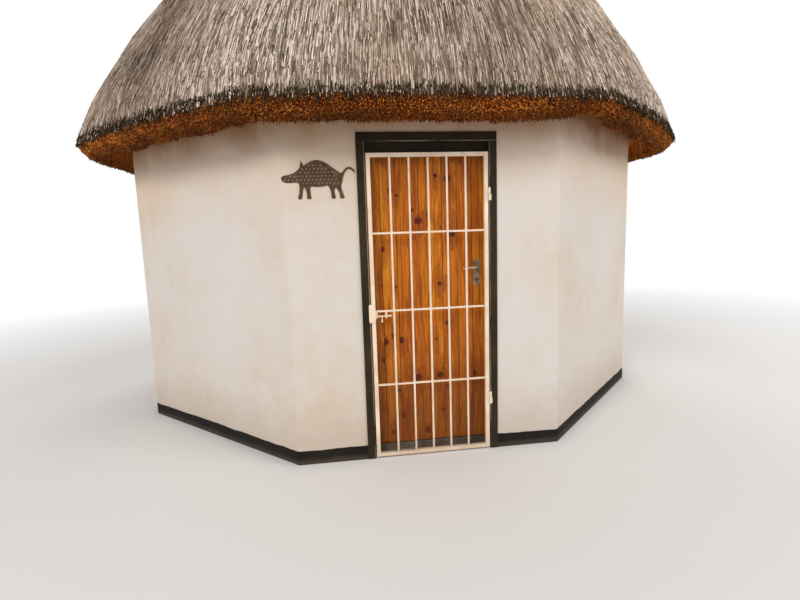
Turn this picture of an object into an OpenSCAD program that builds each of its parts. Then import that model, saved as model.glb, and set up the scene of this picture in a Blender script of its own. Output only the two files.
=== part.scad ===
// Eight-sided thatched rondavel hut with a pole roof, a boarded door and a barred steel gate.
// Millimetres, +Z up. The origin is on the ground at the centre of the octagon.
// The door is in the -Y face. Angles of the faces are turned about Z from that face.

/* [Walls] */
// Outside width between opposite wall faces
wall_flats = 4260; // [3900:10:4800]
// Thickness of the plastered wall
wall_t = 230; // [190:5:260]
// Height of the wall top above the ground
wall_h = 2380; // [2320:5:2600]
// Height of the painted plinth band
plinth_h = 95; // [60:5:140]
// Thickness of the plinth band's coat
plinth_coat = 4; // [2:1:8]
// Height of the floor above the ground
floor_h = 60; // [30:5:80]

/* [Doorway] */
// Offset of the doorway's middle from the middle of the front face
door_x = 10; // [-60:5:60]
// Width of the frame's jambs, seen from the front
jamb_w = 50; // [40:1:70]
// Height of the frame's head
head_h = 55; // [40:1:80]
// Depth of the frame, front to back
frame_d = 131; // [125:1:150]
// How far the frame stands proud of the wall
frame_proud = 8; // [4:1:12]
// Height of the stop board under the head
stop_board_h = 80; // [40:5:100]
// Thickness of the stop board
stop_board_t = 38; // [20:1:44]
// Width of the rebate that takes the door
rebate_w = 12; // [8:1:20]

/* [Door leaf] */
// Thickness of the boards
board_t = 22; // [18:1:28]
// Number of boards
board_n = 8; // [6:1:10]
// Thickness of the ledges and braces behind the boards
ledge_t = 22; // [18:1:30]
// Height of a ledge
ledge_h = 130; // [100:5:160]
// Gap between the door and its frame
door_gap = 5; // [5:1:8]
// Height of the lever's spindle above the ground
lever_z = 1230; // [1100:5:1300]
// Distance from the door's edge to the lever's spindle
lever_inset = 71; // [55:1:90]
// Length of the lever's arm
lever_l = 100; // [80:1:120]
// Height of the lock plates
lock_plate_h = 175; // [150:5:220]
// Width of the lock plates
lock_plate_w = 46; // [36:1:56]

/* [Gate] */
// Width of the gate
gate_w = 770; // [740:5:800]
// Height of the gate
gate_h = 1950; // [1900:5:1960]
// Gap between the gate and the jambs
gate_gap = 8; // [6:1:12]
// Gap between the gate and the ground
gate_foot = 12; // [8:1:30]
// Gap between the gate's top and the frame's head
gate_over = 68; // [50:1:90]
// Size of the gate's square tube
gate_tube = 25; // [20:1:30]
// Size of the gate's square bars
gate_bar = 12; // [10:1:16]
// How far the gate's front stands proud of the door frame
gate_proud = 2; // [0:1:6]
// Number of upright bars between the stiles
gate_bars = 5; // [4:1:7]
// Heights of the cross rails above the ground
gate_rails = [497, 983, 1475];
// Height of the slide bolt above the ground
bolt_z = 950; // [900:5:970]
// Radius of the slide bolt's rod
bolt_r = 6; // [5:0.5:7]
// Travel of the slide bolt
bolt_throw = 22; // [15:1:26]

/* [Hinges] */
// Radius of the gate hinges' knuckles
gate_knuckle_r = 7; // [6:0.5:9]
// Height of one gate knuckle
gate_knuckle_h = 40; // [30:1:50]
// Heights of the gate hinges' middles
gate_hinge_z = [361, 1702];
// Radius of the door hinges' knuckles
door_knuckle_r = 7; // [6:0.5:9]
// Height of the door hinges' middle knuckle
door_knuckle_h = 40; // [30:1:50]
// Length of a strap of the door hinges
strap_l = 300; // [200:10:400]
// Thickness of hinge plates and straps
plate_t = 3; // [3:0.5:5]

/* [Roof] */
// Pitch of the rafters, in degrees, square to the wall faces
pitch = 54; // [50:0.5:55]
// How far the thatch's lower edge stands out from the wall, square to a face
overhang = 270; // [190:5:370]
// Drop of the thatch's lower edge below the line of its underside
lip_drop = 90; // [60:5:120]
// How far the cut face of the eave leans out
cut_out = 120; // [90:5:180]
// Height of the cut face of the eave
cut_h = 120; // [90:5:180]
// Height of the thatch's point above the point of its underside
crown_cover = 77; // [60:1:140]
// Height of the broad combed waves on the thatch's outer face
wave_h = 12; // [0:1:20]
// How strongly the thatch bows outwards, 1 is a straight cone
thatch_bow = 1.3; // [1.2:0.01:1.5]
// Radius of the rafter poles
rafter_r = 40; // [30:1:50]
// Radius of the laths
lath_r = 12; // [10:1:18]
// Spacing of the laths up the slope
lath_step = 380; // [300:10:500]
// Radius of the wall plate poles
plate_pole_r = 50; // [40:1:60]
// Distance of the wall plate's axis behind the wall face
plate_in = 96; // [80:1:110]
// Radius of the mortar cap at the top
cap_r = 430; // [350:10:520]
// Thickness of the mortar cap
cap_t = 45; // [30:1:60]
// Radius of the crown block that the hip rafters meet
crown_r = 130; // [125:1:160]

/* [Hidden] */
$fn = 48;

faces = 8;
face_turn = 360 / faces;
// Clearance between pieces that rest on each other along curved faces
seat = 0.3;
// Width that each wall piece stays short of its mitres
joint = 0.1;
// Length by which cutting shapes pass the faces that they cut
over = 1;
// Running clearance of pins and rods in their bores
run = 0.3;
// Clearance between a turning knuckle and the frame behind it
knuckle_off = 1;

wall_a = wall_flats / 2;
inner_a = wall_a - wall_t;
half_tan = tan(face_turn / 2);

// Doorway
frame_front = wall_a + frame_proud;
frame_back = frame_front - frame_d;
gate_opening = gate_w + 2 * gate_gap;
frame_w = gate_opening + 2 * jamb_w;
jamb_h = gate_foot + gate_h + gate_over;
frame_top = jamb_h + head_h;
rebate_d = board_t + ledge_t + door_gap;
stop_back = frame_back + rebate_d;

// Door leaf, with its front face at leaf_front and its inner edge flush with the frame's back
leaf_w = gate_opening + 2 * rebate_w - 2 * door_gap;
leaf_bottom = floor_h + door_gap + 2;
leaf_top = jamb_h - door_gap;
leaf_front = stop_back - door_gap;
leaf_back = leaf_front - board_t;
ledge_back = leaf_back - ledge_t;
leaf_left = door_x - leaf_w / 2;
leaf_right = door_x + leaf_w / 2;
board_w = leaf_w / board_n;
groove = 5;
ledge_inset = 25;
ledge_in = 170;
lock_ledge_drop = 130;
ledge_z = [leaf_bottom + ledge_in, lever_z - lock_ledge_drop, leaf_top - ledge_in];
brace_w = 90;
lever_x = leaf_right - lever_inset;

// Door hinge pin, inside the hut on the left jamb
door_pin_x = leaf_left - door_gap / 2;
door_pin_y = -(frame_back - knuckle_off - door_knuckle_r);
door_pin_r = 3;
strap_w = 40;
door_hinge_z = [ledge_z[0], ledge_z[2]];

// Gate, with its pin in front of the right jamb
gate_front = frame_front + gate_proud;
gate_back = gate_front - gate_tube;
gate_left = door_x - gate_w / 2;
gate_right = door_x + gate_w / 2;
gate_bottom = gate_foot;
gate_top = gate_foot + gate_h;
gate_mid = gate_front - gate_tube / 2;
gate_pin_x = gate_right + gate_knuckle_r;
gate_pin_y = -(frame_front + knuckle_off + gate_knuckle_r);
gate_pin_r = 4;
gate_hinge_gap = 1;
gate_leaf_w = 15;
gate_leaf_in = 4;
gate_plate_w = 14;

// Lock side of the gate
cover_w = 42;
cover_h = 118;
cover_t = 4;
cover_low = 39;
cover_round = 8;
bolt_y = -gate_mid;
bolt_l = 128;
mortise = bolt_r + 1.5;
guide_t = 20;
guide_span = 74;
cheek_w = 12;
knob_drop = 34;
knob_r = 7;
knob_stem_r = 4;

// Roof, laid up from the poles on the wall
slope = tan(pitch);
vertical = 1 / cos(pitch);
rafter_depth = 2 * lath_r + 2 * seat + rafter_r;
plate_z = wall_h + plate_pole_r;
plate_depth = rafter_depth + rafter_r + plate_pole_r + 2 * seat;
plate_r = wall_a - plate_in;
hip_top_r = crown_r + seat;
face_head_off = 200;
face_top_r = crown_r + face_head_off;

// Height of the thatch's underside at a distance r from the centre, square to a face
function under_z(r) = plate_z + plate_depth * vertical + (plate_r - r) * slope;
// Height of a rafter's axis at the same place
function rafter_z(r) = under_z(r) - rafter_depth * vertical;

// Edges of the eave and the rise of the thatch's outer face
eave_low_r = wall_a + overhang;
eave_low_z = under_z(eave_low_r) - lip_drop;
eave_r = eave_low_r + cut_out;
eave_z = eave_low_z + cut_h;
thatch_rise = under_z(0) + crown_cover - eave_z;
rafter_tail_in = 75;
rafter_tail_r = eave_low_r - rafter_tail_in;

// Turns a child to face i, with the face's outward side towards -Y
module on_face(i) {
    rotate([0, 0, i * face_turn]) children();
}

// Plan of one wall face, mitred at the corners
module face_plan(a, t) {
    outer = a * half_tan - joint;
    inner = (a - t) * half_tan - joint;
    polygon([[-outer, -a], [outer, -a], [inner, t - a], [-inner, t - a]]);
}

// Box given by its corners
module block(x0, x1, y0, y1, z0, z1) {
    translate([x0, y0, z0]) cube([x1 - x0, y1 - y0, z1 - z0]);
}

// Octagon with a face towards -Y
module octagon(a) {
    rotate(face_turn / 2) circle(r = a / cos(face_turn / 2), $fn = faces);
}

module floor_slab() {
    color("dimgray") linear_extrude(floor_h) octagon(inner_a - seat);
}

// Sill between the jambs, with its riser behind the gate
module threshold() {
    riser = stop_back;
    color("dimgray") union() {
        block(door_x - gate_opening / 2, door_x + gate_opening / 2, -riser, -frame_back, 0, floor_h);
        block(door_x - frame_w / 2, door_x + frame_w / 2, -frame_back, -inner_a, 0, floor_h);
    }
}

module plinth_band() {
    color("#33302e") difference() {
        linear_extrude(plinth_h) difference() {
            octagon(wall_a + plinth_coat);
            octagon(wall_a);
        }
        block(door_x - frame_w / 2, door_x + frame_w / 2, -frame_front - over, 0, -over, plinth_h + over);
    }
}

module wall_face(i) {
    color("#efe4d6") on_face(i) linear_extrude(wall_h) face_plan(wall_a, wall_t);
}

// Part of the front wall between two x values and two heights
module front_wall_part(x0, x1, z0, z1) {
    color("#efe4d6") intersection() {
        linear_extrude(wall_h) face_plan(wall_a, wall_t);
        block(x0, x1, -wall_a - over, -inner_a + over, z0, z1);
    }
}

module front_wall_left() {
    front_wall_part(-wall_a, door_x - frame_w / 2, -over, wall_h + over);
}

module front_wall_right() {
    front_wall_part(door_x + frame_w / 2, wall_a, -over, wall_h + over);
}

module wall_over_door() {
    front_wall_part(door_x - frame_w / 2, door_x + frame_w / 2, frame_top, wall_h + over);
}

// Eight poles laid on the wall, butted at the corners
module wall_plate() {
    color("#8a6a45") for (i = [0 : faces - 1])
        on_face(i) pole_across(plate_r, plate_z + seat, plate_pole_r);
}

// Pole of radius p across a face at the distance r, whose ends just clear its neighbours
module pole_across(r, z, p) {
    l = 2 * (r - p) * half_tan - 2 * seat;
    translate([-l / 2, -r, z]) rotate([0, 90, 0]) cylinder(r = p, h = l);
}

// One rafter in the vertical plane of the angle turn, lying under the laths.
// k stretches its plan length where it runs along a hip.
module rafter(turn, k, top_r) {
    foot = [0, -rafter_tail_r * k, rafter_z(rafter_tail_r)];
    head = [0, -top_r, rafter_z(top_r / k)];
    run_y = head[1] - foot[1];
    rise = head[2] - foot[2];
    rotate([0, 0, turn]) translate(foot) rotate([-atan2(run_y, rise), 0, 0])
        cylinder(r = rafter_r, h = norm([run_y, rise]));
}

// The hip rafters' heads are cut plumb at the crown block
module hip_rafters() {
    k = 1 / cos(face_turn / 2);
    color("#8a6a45") difference() {
        for (i = [0 : faces - 1]) rafter((i + 0.5) * face_turn, k, hip_top_r - rafter_r);
        translate([0, 0, eave_low_z]) cylinder(r = hip_top_r, h = thatch_rise * 2);
    }
}

module face_rafters() {
    color("#8a6a45") for (i = [0 : faces - 1]) rafter(i * face_turn, 1, face_top_r);
}

crown_top = under_z(crown_r) - 2 * lath_r;
crown_bottom = rafter_z(crown_r) - 3 * rafter_r;
module crown_block() {
    color("#7a5a38") translate([0, 0, crown_bottom]) cylinder(r = crown_r, h = crown_top - crown_bottom);
}

// Plaster between the rafters, from the wall's top to the underside of the laths
fill_t = 40;
function fill_z(r) = under_z(r) - (2 * lath_r + 2 * seat) * vertical;
module beam_filling() {
    k = 1 / cos(face_turn / 2);
    color("#efe4d6") difference() {
        for (i = [0 : faces - 1]) on_face(i) rotate([90, 0, -90]) linear_extrude(2 * wall_a * half_tan, center = true)
            polygon([
                [wall_a, wall_h], [wall_a, fill_z(wall_a)],
                [wall_a - fill_t, fill_z(wall_a - fill_t)], [wall_a - fill_t, wall_h]
            ]);
        for (i = [0 : faces - 1]) {
            rafter_slot(i * face_turn, 1);
            rafter_slot((i + 0.5) * face_turn, k);
        }
    }
}

// Room for a rafter through the beam filling, open to the thatch above
module rafter_slot(turn, k) {
    rotate([0, 0, turn]) block(-rafter_r - seat, rafter_r + seat,
        -wall_a * k - fill_t, -(wall_a - 2 * fill_t) * k, wall_h - over, under_z(wall_a - 2 * fill_t));
}

// Rings of laths across the rafters, evenly spaced, in lengths that end on the hips
lath_head_off = 130;
lath_tail_in = 90;
lath_top_r = crown_r + lath_head_off;
lath_low_r = eave_low_r - lath_tail_in;
lath_rings = round((lath_low_r - lath_top_r) / (lath_step * cos(pitch)));
module laths() {
    color("#9c7a4c") for (i = [0 : faces - 1], j = [0 : lath_rings]) {
        r = lath_low_r - j * (lath_low_r - lath_top_r) / lath_rings;
        on_face(i) pole_across(r, under_z(r) - (lath_r + seat) * vertical, lath_r);
    }
}

// Outer distance of the thatch at the share t of its rise
function thatch_r(t) = eave_r * (1 - pow(t, thatch_bow));
// Share of the rise at which the thatch is r from the centre
function thatch_share(r) = pow(1 - r / eave_r, 1 / thatch_bow);
// How round the octagon is, from 0 with sharp corners to 1 for a circle
function roundness(t) = min(1, 0.35 + 0.65 * t / 0.8);
// Stretch of the radius at the angle a from a face's middle, for a rounded octagon
bulge = 0.035;
function corner(a, q) = (1 - q) / cos(a) + q * (1 + bulge * (1 - q));

// The thatch is laid in one bay to each face. A bay's end stays this angle short of the hip.
bay_joint = 0.004;
bay_n = 12;
function bay_angle(i) = (2 * i / bay_n - 1) * (face_turn / 2 - bay_joint);

// Where the thatch's outer face ends under the cap, and its underside at the crown block
cap_lap = 316;
hole_gap = 60;
thatch_top_r = cap_r - cap_lap;
hole_r = crown_r + hole_gap;
// Where the lip of the eave meets the flat underside
lip_in = 45;
lip_r = eave_low_r - lip_in;
lip_z = under_z(lip_r);
lip_share = (lip_z - eave_z) / thatch_rise;
lip_round = roundness(lip_share);

// Shares of the rise from the top down to the cap's edge, then down to the eave
cap_share = thatch_share(cap_r);
top_share = thatch_share(thatch_top_r);
cap_steps = 3;
thatch_rows = 22;
cap_shares = [for (i = [0 : cap_steps]) top_share - (top_share - cap_share) * i / cap_steps];
coat_shares = concat(cap_shares, [for (i = [1 : thatch_rows]) cap_share - (cap_share - lip_share) * i / thatch_rows]);

// Combed waves of the outer face at the angle a about Z. They die out at the lip and at the cap.
waves_round = 22;
waves_up = 5.5;
cross_waves_round = 13;
cross_waves_up = 3;
function wave_fade(t) = max(0, min(1, 12 * (t - lip_share), 12 * (cap_share - t)));
function wave(a, t) = wave_h * wave_fade(t) * (1 - pow(t, thatch_bow)) * (
    0.6 * sin(waves_round * a) * cos(360 * waves_up * t) + 0.4 * sin(cross_waves_round * a + 360 * cross_waves_up * t));

// Closed bay from the rows of its section, each with a distance, a height, a roundness and, on the
// outer face of the main coat, the share of the rise. turn is the face's angle.
module bay(rows, turn = 0) {
    m = len(rows);
    w = bay_n + 1;
    points = [for (r = rows, i = [0 : bay_n])
        let (a = bay_angle(i), s = r[0] * corner(a, r[2]) + (len(r) > 3 ? wave(a + turn, r[3]) : 0))
        [s * sin(a), -s * cos(a), r[1]]];
    sides = [for (j = [0 : m - 1], i = [0 : bay_n - 1], h = [0, 1]) let (k = (j + 1) % m)
        h == 0 ? [j * w + i, j * w + i + 1, k * w + i + 1] : [j * w + i, k * w + i + 1, k * w + i]];
    ends = [for (j = [1 : m - 2], h = [0, 1])
        h == 0 ? [0, j * w, (j + 1) * w] : [bay_n, (j + 1) * w + bay_n, j * w + bay_n]];
    polyhedron(points = points, faces = concat(sides, ends));
}

// Main coat, from the top down to the line where the flat underside ends
module thatch() {
    color("#b8aa98") for (i = [0 : faces - 1]) on_face(i) bay(concat(
        [for (t = coat_shares) [thatch_r(t), eave_z + thatch_rise * t, roundness(t), t]],
        [[lip_r, lip_z, 0], [hole_r, under_z(hole_r), 0]]
    ), i * face_turn);
}

// Thick lowest course with the cut face, below the main coat
module thatch_eave() {
    color("#a8793f") for (i = [0 : faces - 1]) on_face(i) bay([
        [thatch_r(lip_share), lip_z - seat, lip_round],
        [eave_r, eave_z, roundness(0)],
        [(eave_r + eave_low_r) / 2 + cut_out / 5.5, (eave_z + eave_low_z) / 2 - cut_h / 12, 0.3],
        [eave_low_r + cut_out / 6.7, eave_low_z + cut_h / 30, 0.2],
        [eave_low_r - cut_out / 8.6, eave_low_z, 0.1],
        [lip_r, lip_z - seat, 0]
    ]);
}

// Mortar cap over the top, shaped to the thatch below it
cap_sides = 96;
module mortar_cap() {
    inner = [for (i = [cap_steps : -1 : 0]) let (t = cap_shares[i])
        [thatch_r(t) + seat, eave_z + thatch_rise * t + seat]];
    last = inner[cap_steps];
    outer = [for (i = [cap_steps : -1 : 0]) let (p = inner[i], e = i / cap_steps)
        [p[0] * (1 - e * e / 4) + cap_t / 2, p[1] + cap_t * (1 + 1.2 * e * e)]];
    color("#b5b0a6") rotate_extrude($fn = cap_sides)
        polygon(concat(inner, [[0, last[1]], [0, outer[0][1] + cap_t]], outer));
}

// Jamb seen from above, with its rebate at the back. side is -1 on the left and 1 on the right.
module jamb(side) {
    o = gate_opening / 2;
    translate([door_x, 0, 0]) linear_extrude(jamb_h) polygon([
        [side * o, -frame_front], [side * (o + jamb_w), -frame_front], [side * (o + jamb_w), -frame_back],
        [side * (o + rebate_w), -frame_back], [side * (o + rebate_w), -stop_back], [side * o, -stop_back]
    ]);
}

module frame_jamb_left() {
    color("#2b2a1e") difference() {
        jamb(-1);
        // Mortise that the gate's bolt shoots into
        block(gate_left - gate_gap - bolt_throw, gate_left - gate_gap + over,
            bolt_y - mortise, bolt_y + mortise, bolt_z - mortise, bolt_z + mortise);
    }
}

module frame_jamb_right() {
    color("#2b2a1e") jamb(1);
}

module frame_head() {
    color("#2b2a1e") block(door_x - frame_w / 2, door_x + frame_w / 2, -frame_front, -frame_back, jamb_h, frame_top);
}

// Board that closes the frame above the gate and stops the door
module frame_stop_board() {
    color("#1f1e17") block(door_x - gate_opening / 2, door_x + gate_opening / 2,
        -stop_back - stop_board_t, -stop_back, jamb_h - stop_board_h, jamb_h);
}

// Boards with a V joint between neighbours, and the hole for the spindle
module door_boards() {
    color("#b8702c") difference() {
        block(leaf_left, leaf_right, -leaf_front, -leaf_back, leaf_bottom, leaf_top);
        for (i = [1 : board_n - 1]) translate([leaf_left + i * board_w, -leaf_front, leaf_bottom - over])
            rotate(45) translate([-groove / 2, -groove / 2, 0]) cube([groove, groove, leaf_top - leaf_bottom + 2 * over]);
        spindle_hole();
    }
}

// Three ledges and the two braces between them, rising from the hinge side
module door_ledges() {
    x0 = leaf_left + ledge_inset;
    x1 = leaf_right - ledge_inset;
    color("#a8642a") difference() {
        union() {
            for (z = ledge_z) block(x0, x1, -leaf_back, -ledge_back, z - ledge_h / 2, z + ledge_h / 2);
            for (i = [0, 1]) translate([0, -ledge_back, 0]) rotate([90, 0, 0]) linear_extrude(ledge_t) polygon([
                [x0, ledge_z[i] + ledge_h / 2], [x0 + brace_w, ledge_z[i] + ledge_h / 2],
                [x1, ledge_z[i + 1] - ledge_h / 2], [x1 - brace_w, ledge_z[i + 1] - ledge_h / 2]
            ]);
        }
        spindle_hole();
    }
}

spindle_r = 5;
module spindle_hole() {
    translate([lever_x, -leaf_front - over, lever_z]) rotate([-90, 0, 0])
        cylinder(r = spindle_r + 2, h = board_t + ledge_t + 2 * over);
}

// Straps of the door's hinges, with the middle knuckles round the pins
module door_straps() {
    color("#26241f") for (z = door_hinge_z) difference() {
        union() {
            translate([door_pin_x, door_pin_y, z - door_knuckle_h / 2]) cylinder(r = door_knuckle_r, h = door_knuckle_h);
            block(door_pin_x, leaf_left + ledge_inset, -ledge_back, -ledge_back + plate_t, z - door_knuckle_h / 2, z + door_knuckle_h / 2);
            translate([leaf_left + ledge_inset, -ledge_back + plate_t, z]) rotate([90, 0, 0]) linear_extrude(plate_t)
                polygon([[0, -strap_w / 2], [strap_l, -strap_w / 4], [strap_l, strap_w / 4], [0, strap_w / 2]]);
        }
        translate([door_pin_x, door_pin_y, z - door_knuckle_h]) cylinder(r = door_pin_r + run, h = 2 * door_knuckle_h);
    }
}

// Plates on the left jamb, each with two knuckles and the pin
module door_hinge_plates() {
    end_h = door_knuckle_h / 2;
    gap = 1;
    color("#26241f") for (z = door_hinge_z) {
        total = door_knuckle_h / 2 + gap + end_h;
        translate([door_pin_x, door_pin_y, z - total]) cylinder(r = door_pin_r, h = 2 * total);
        for (s = [-1, 1]) translate([0, 0, z + s * (total - end_h / 2)]) {
            translate([door_pin_x, door_pin_y, -end_h / 2]) cylinder(r = door_knuckle_r, h = end_h);
            block(door_pin_x - 34, door_pin_x, -frame_back, -frame_back + plate_t, -end_h / 2, end_h / 2);
        }
    }
}

// Plate of the size w by h with corners of the radius r, from the origin in the XY plane
module rounded_plate(w, h, r, t) {
    translate([r, 0, 0]) cube([w - 2 * r, h, t]);
    translate([0, r, 0]) cube([w, h - 2 * r, t]);
    for (x = [r, w - r], y = [r, h - r]) translate([x, y, 0]) cylinder(r = r, h = t);
}

// Lock plate on the side s of the door, -1 outside and 1 inside, with its keyhole
lock_plate_high = 55;
lock_plate_round = 12;
boss_r = 10;
keyhole_drop = 72;
keyhole_r = 4.5;
keyhole_w = 4;
keyhole_l = 18;
module lock_plate(s) {
    face = s < 0 ? -leaf_front : -ledge_back;
    depth = plate_t + 2 * over;
    translate([lever_x, face, lever_z]) rotate([s < 0 ? 90 : -90, 0, 0]) mirror([0, s < 0 ? 0 : 1, 0]) difference() {
        translate([-lock_plate_w / 2, lock_plate_high - lock_plate_h, 0])
            rounded_plate(lock_plate_w, lock_plate_h, lock_plate_round, plate_t);
        translate([0, 0, -over]) cylinder(r = boss_r + run, h = depth);
        translate([0, -keyhole_drop, -over]) cylinder(r = keyhole_r, h = depth);
        translate([-keyhole_w / 2, -keyhole_drop - keyhole_l, -over]) cube([keyhole_w, keyhole_l, depth]);
    }
}

module lock_plate_outer() {
    color("#8f8b80") lock_plate(-1);
}

// The inner plate stands on the boards' ledge
module lock_plate_inner() {
    color("#8f8b80") lock_plate(1);
}

// Levers on both sides of the door, on one spindle
lever_reach = 30;
lever_r = 8;
module lever_handle() {
    color("#a39d90") {
        translate([lever_x, -leaf_front - boss_r, lever_z]) rotate([-90, 0, 0])
            cylinder(r = spindle_r, h = board_t + ledge_t + 2 * boss_r);
        lever_arm(-1, -leaf_front);
        lever_arm(1, -ledge_back);
    }
}

// One lever: a neck out from the door and an arm towards the hinge side
module lever_arm(s, face) {
    translate([lever_x, face, lever_z]) rotate([s < 0 ? 90 : -90, 0, 0]) {
        translate([0, 0, seat]) cylinder(r = boss_r, h = lever_reach);
        translate([0, 0, lever_reach]) {
            sphere(r = boss_r);
            rotate([0, -90, 0]) cylinder(r = lever_r, h = lever_l - lever_r);
            translate([lever_r - lever_l, 0, 0]) sphere(r = lever_r);
        }
    }
}

// Square tube frame of the gate
module gate_frame() {
    t = gate_tube;
    color("#f1e6d8") difference() {
        block(gate_left, gate_right, -gate_front, -gate_back, gate_bottom, gate_top);
        block(gate_left + t, gate_right - t, -gate_front - over, -gate_back + over, gate_bottom + t, gate_top - t);
        translate([gate_left - over, bolt_y, bolt_z]) rotate([0, 90, 0]) cylinder(r = bolt_r + run, h = t + 2 * over);
    }
}

// Upright bars and cross rails, welded where they cross
module gate_bars() {
    t = gate_tube;
    b = gate_bar / 2;
    step = (gate_w - 2 * t) / (gate_bars + 1);
    color("#f1e6d8") union() {
        for (i = [1 : gate_bars]) let (x = gate_left + t + i * step)
            block(x - b, x + b, -gate_mid - b, -gate_mid + b, gate_bottom + t, gate_top - t);
        for (z = gate_rails) block(gate_left + t, gate_right - t, -gate_mid - b, -gate_mid + b, z - b, z + b);
    }
}

// Upper knuckles, each with a leaf welded to the front of the gate's stile
module gate_hinge_tops() {
    color("#f1e6d8") for (z = gate_hinge_z) difference() {
        union() {
            translate([gate_pin_x, gate_pin_y, z + gate_hinge_gap / 2]) cylinder(r = gate_knuckle_r, h = gate_knuckle_h);
            block(gate_right - gate_leaf_w, gate_pin_x, -gate_front - plate_t, -gate_front,
                z + gate_leaf_in, z + gate_knuckle_h - gate_leaf_in);
        }
        translate([gate_pin_x, gate_pin_y, z - over]) cylinder(r = gate_pin_r + run, h = gate_knuckle_h - gate_leaf_in + over);
    }
}

// Lower knuckles with their pins, on a plate on the right jamb
module gate_hinge_pins() {
    color("#f1e6d8") for (z = gate_hinge_z) {
        translate([gate_pin_x, gate_pin_y, z - gate_knuckle_h - gate_hinge_gap / 2]) {
            cylinder(r = gate_knuckle_r, h = gate_knuckle_h);
            cylinder(r = gate_pin_r, h = 2 * gate_knuckle_h - gate_leaf_in - 2 * gate_hinge_gap);
        }
        block(gate_pin_x, gate_pin_x + gate_plate_w, -frame_front - plate_t, -frame_front,
            z - gate_knuckle_h - gate_hinge_gap / 2, z - gate_hinge_gap / 2);
    }
}

// Two lugs that guide the slide bolt, welded under the rail above it
module bolt_guide() {
    x0 = gate_left + gate_tube;
    rail_low = gate_rails[1] - gate_bar / 2;
    color("#f1e6d8") difference() {
        for (x = [x0, x0 + guide_span - cheek_w])
            block(x, x + cheek_w, bolt_y - guide_t / 2, bolt_y + guide_t / 2, bolt_z - cheek_w, rail_low);
        translate([x0 - over, bolt_y, bolt_z]) rotate([0, 90, 0]) cylinder(r = bolt_r + run, h = guide_span + 2 * over);
    }
}

// Rod of the slide bolt with its knob, drawn back at rest
module gate_bolt() {
    knob_x = gate_left + gate_tube + cheek_w + bolt_throw + knob_r + over;
    color("#f1e6d8") {
        translate([gate_left + over, bolt_y, bolt_z]) rotate([0, 90, 0]) cylinder(r = bolt_r, h = bolt_l);
        translate([knob_x, bolt_y, bolt_z - knob_drop]) {
            cylinder(r = knob_stem_r, h = knob_drop);
            sphere(r = knob_r);
        }
    }
}

// Plate that covers the gap at the bolt, on the gate's front
module gate_cover_plate() {
    color("#f1e6d8") translate([gate_left + gate_tube - cover_w, -gate_front, bolt_z - cover_low]) rotate([90, 0, 0])
        rounded_plate(cover_w, cover_h, cover_round, cover_t);
}

// Cut-out of a standing wild pig on the wall beside the door
plaque_t = 4;
plaque_x = -662;
plaque_z = 1695;
// Outline from the snout over the back and the tail, then along the legs and the belly
pig_outline = [
    [-221, 110], [-225, 127], [-212, 139], [-178, 145], [-147, 155], [-122, 174], [-110, 188], [-102, 227], [-88, 196], [-69, 210],
    [-39, 225], [-4, 231], [29, 221], [61, 202], [90, 180], [116, 163], [131, 149], [143, 157], [157, 174], [174, 186],
    [194, 186], [212, 172], [220, 157], [212, 153], [202, 167], [190, 174], [176, 174], [163, 163], [151, 143], [143, 120],
    [139, 98], [131, 74], [137, 45], [145, 22], [151, 6], [145, 0], [125, 0], [122, 10], [120, 29], [110, 53],
    [98, 67], [90, 49], [92, 25], [96, 8], [92, 0], [73, 0], [72, 12], [69, 37], [61, 65], [51, 80],
    [27, 74], [0, 71], [-29, 72], [-49, 77], [-55, 55], [-54, 27], [-49, 8], [-54, 0], [-74, 0], [-76, 10],
    [-76, 35], [-82, 59], [-90, 73], [-98, 55], [-102, 29], [-106, 10], [-110, 0], [-129, 0], [-129, 10], [-122, 35],
    [-118, 65], [-119, 90], [-135, 100], [-167, 98], [-198, 98]
];
// Rows of round holes, each with the first hole's place and the number of holes
pig_holes = [[-96, 94, 10], [-202, 115, 14], [-168, 136, 12], [-106, 157, 9], [-96, 178, 7], [-58, 199, 4]];
pig_hole_r = 4;
pig_hole_step = 23.5;
module animal_plaque() {
    color("#4a3324") translate([plaque_x, -wall_a, plaque_z]) rotate([90, 0, 0]) difference() {
        linear_extrude(plaque_t) polygon(pig_outline);
        for (row = pig_holes, i = [0 : row[2] - 1]) translate([row[0] + i * pig_hole_step, row[1], -over])
            cylinder(r = pig_hole_r, h = plaque_t + 2 * over, $fn = 16);
    }
}

floor_slab();
threshold();
plinth_band();
front_wall_left();
front_wall_right();
wall_over_door();
wall_face(1);  // wall_1
wall_face(2);  // wall_2
wall_face(3);  // wall_3
wall_face(4);  // wall_4
wall_face(5);  // wall_5
wall_face(6);  // wall_6
wall_face(7);  // wall_7
wall_plate();
beam_filling();
hip_rafters();
face_rafters();
crown_block();
laths();
thatch();
thatch_eave();
mortar_cap();
frame_jamb_left();
frame_jamb_right();
frame_head();
frame_stop_board();
door_boards();
door_ledges();
door_straps();
door_hinge_plates();
lock_plate_outer();
lock_plate_inner();
lever_handle();
gate_frame();
gate_bars();
gate_hinge_tops();
gate_hinge_pins();
bolt_guide();
gate_bolt();
gate_cover_plate();
animal_plaque();
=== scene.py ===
"""Looks of the eight-sided thatched rondavel hut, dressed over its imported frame. Metres throughout."""
from math import cos, exp, pi, radians, sin, tan

import bmesh
import bpy
from mathutils import Matrix, Vector, noise


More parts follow.
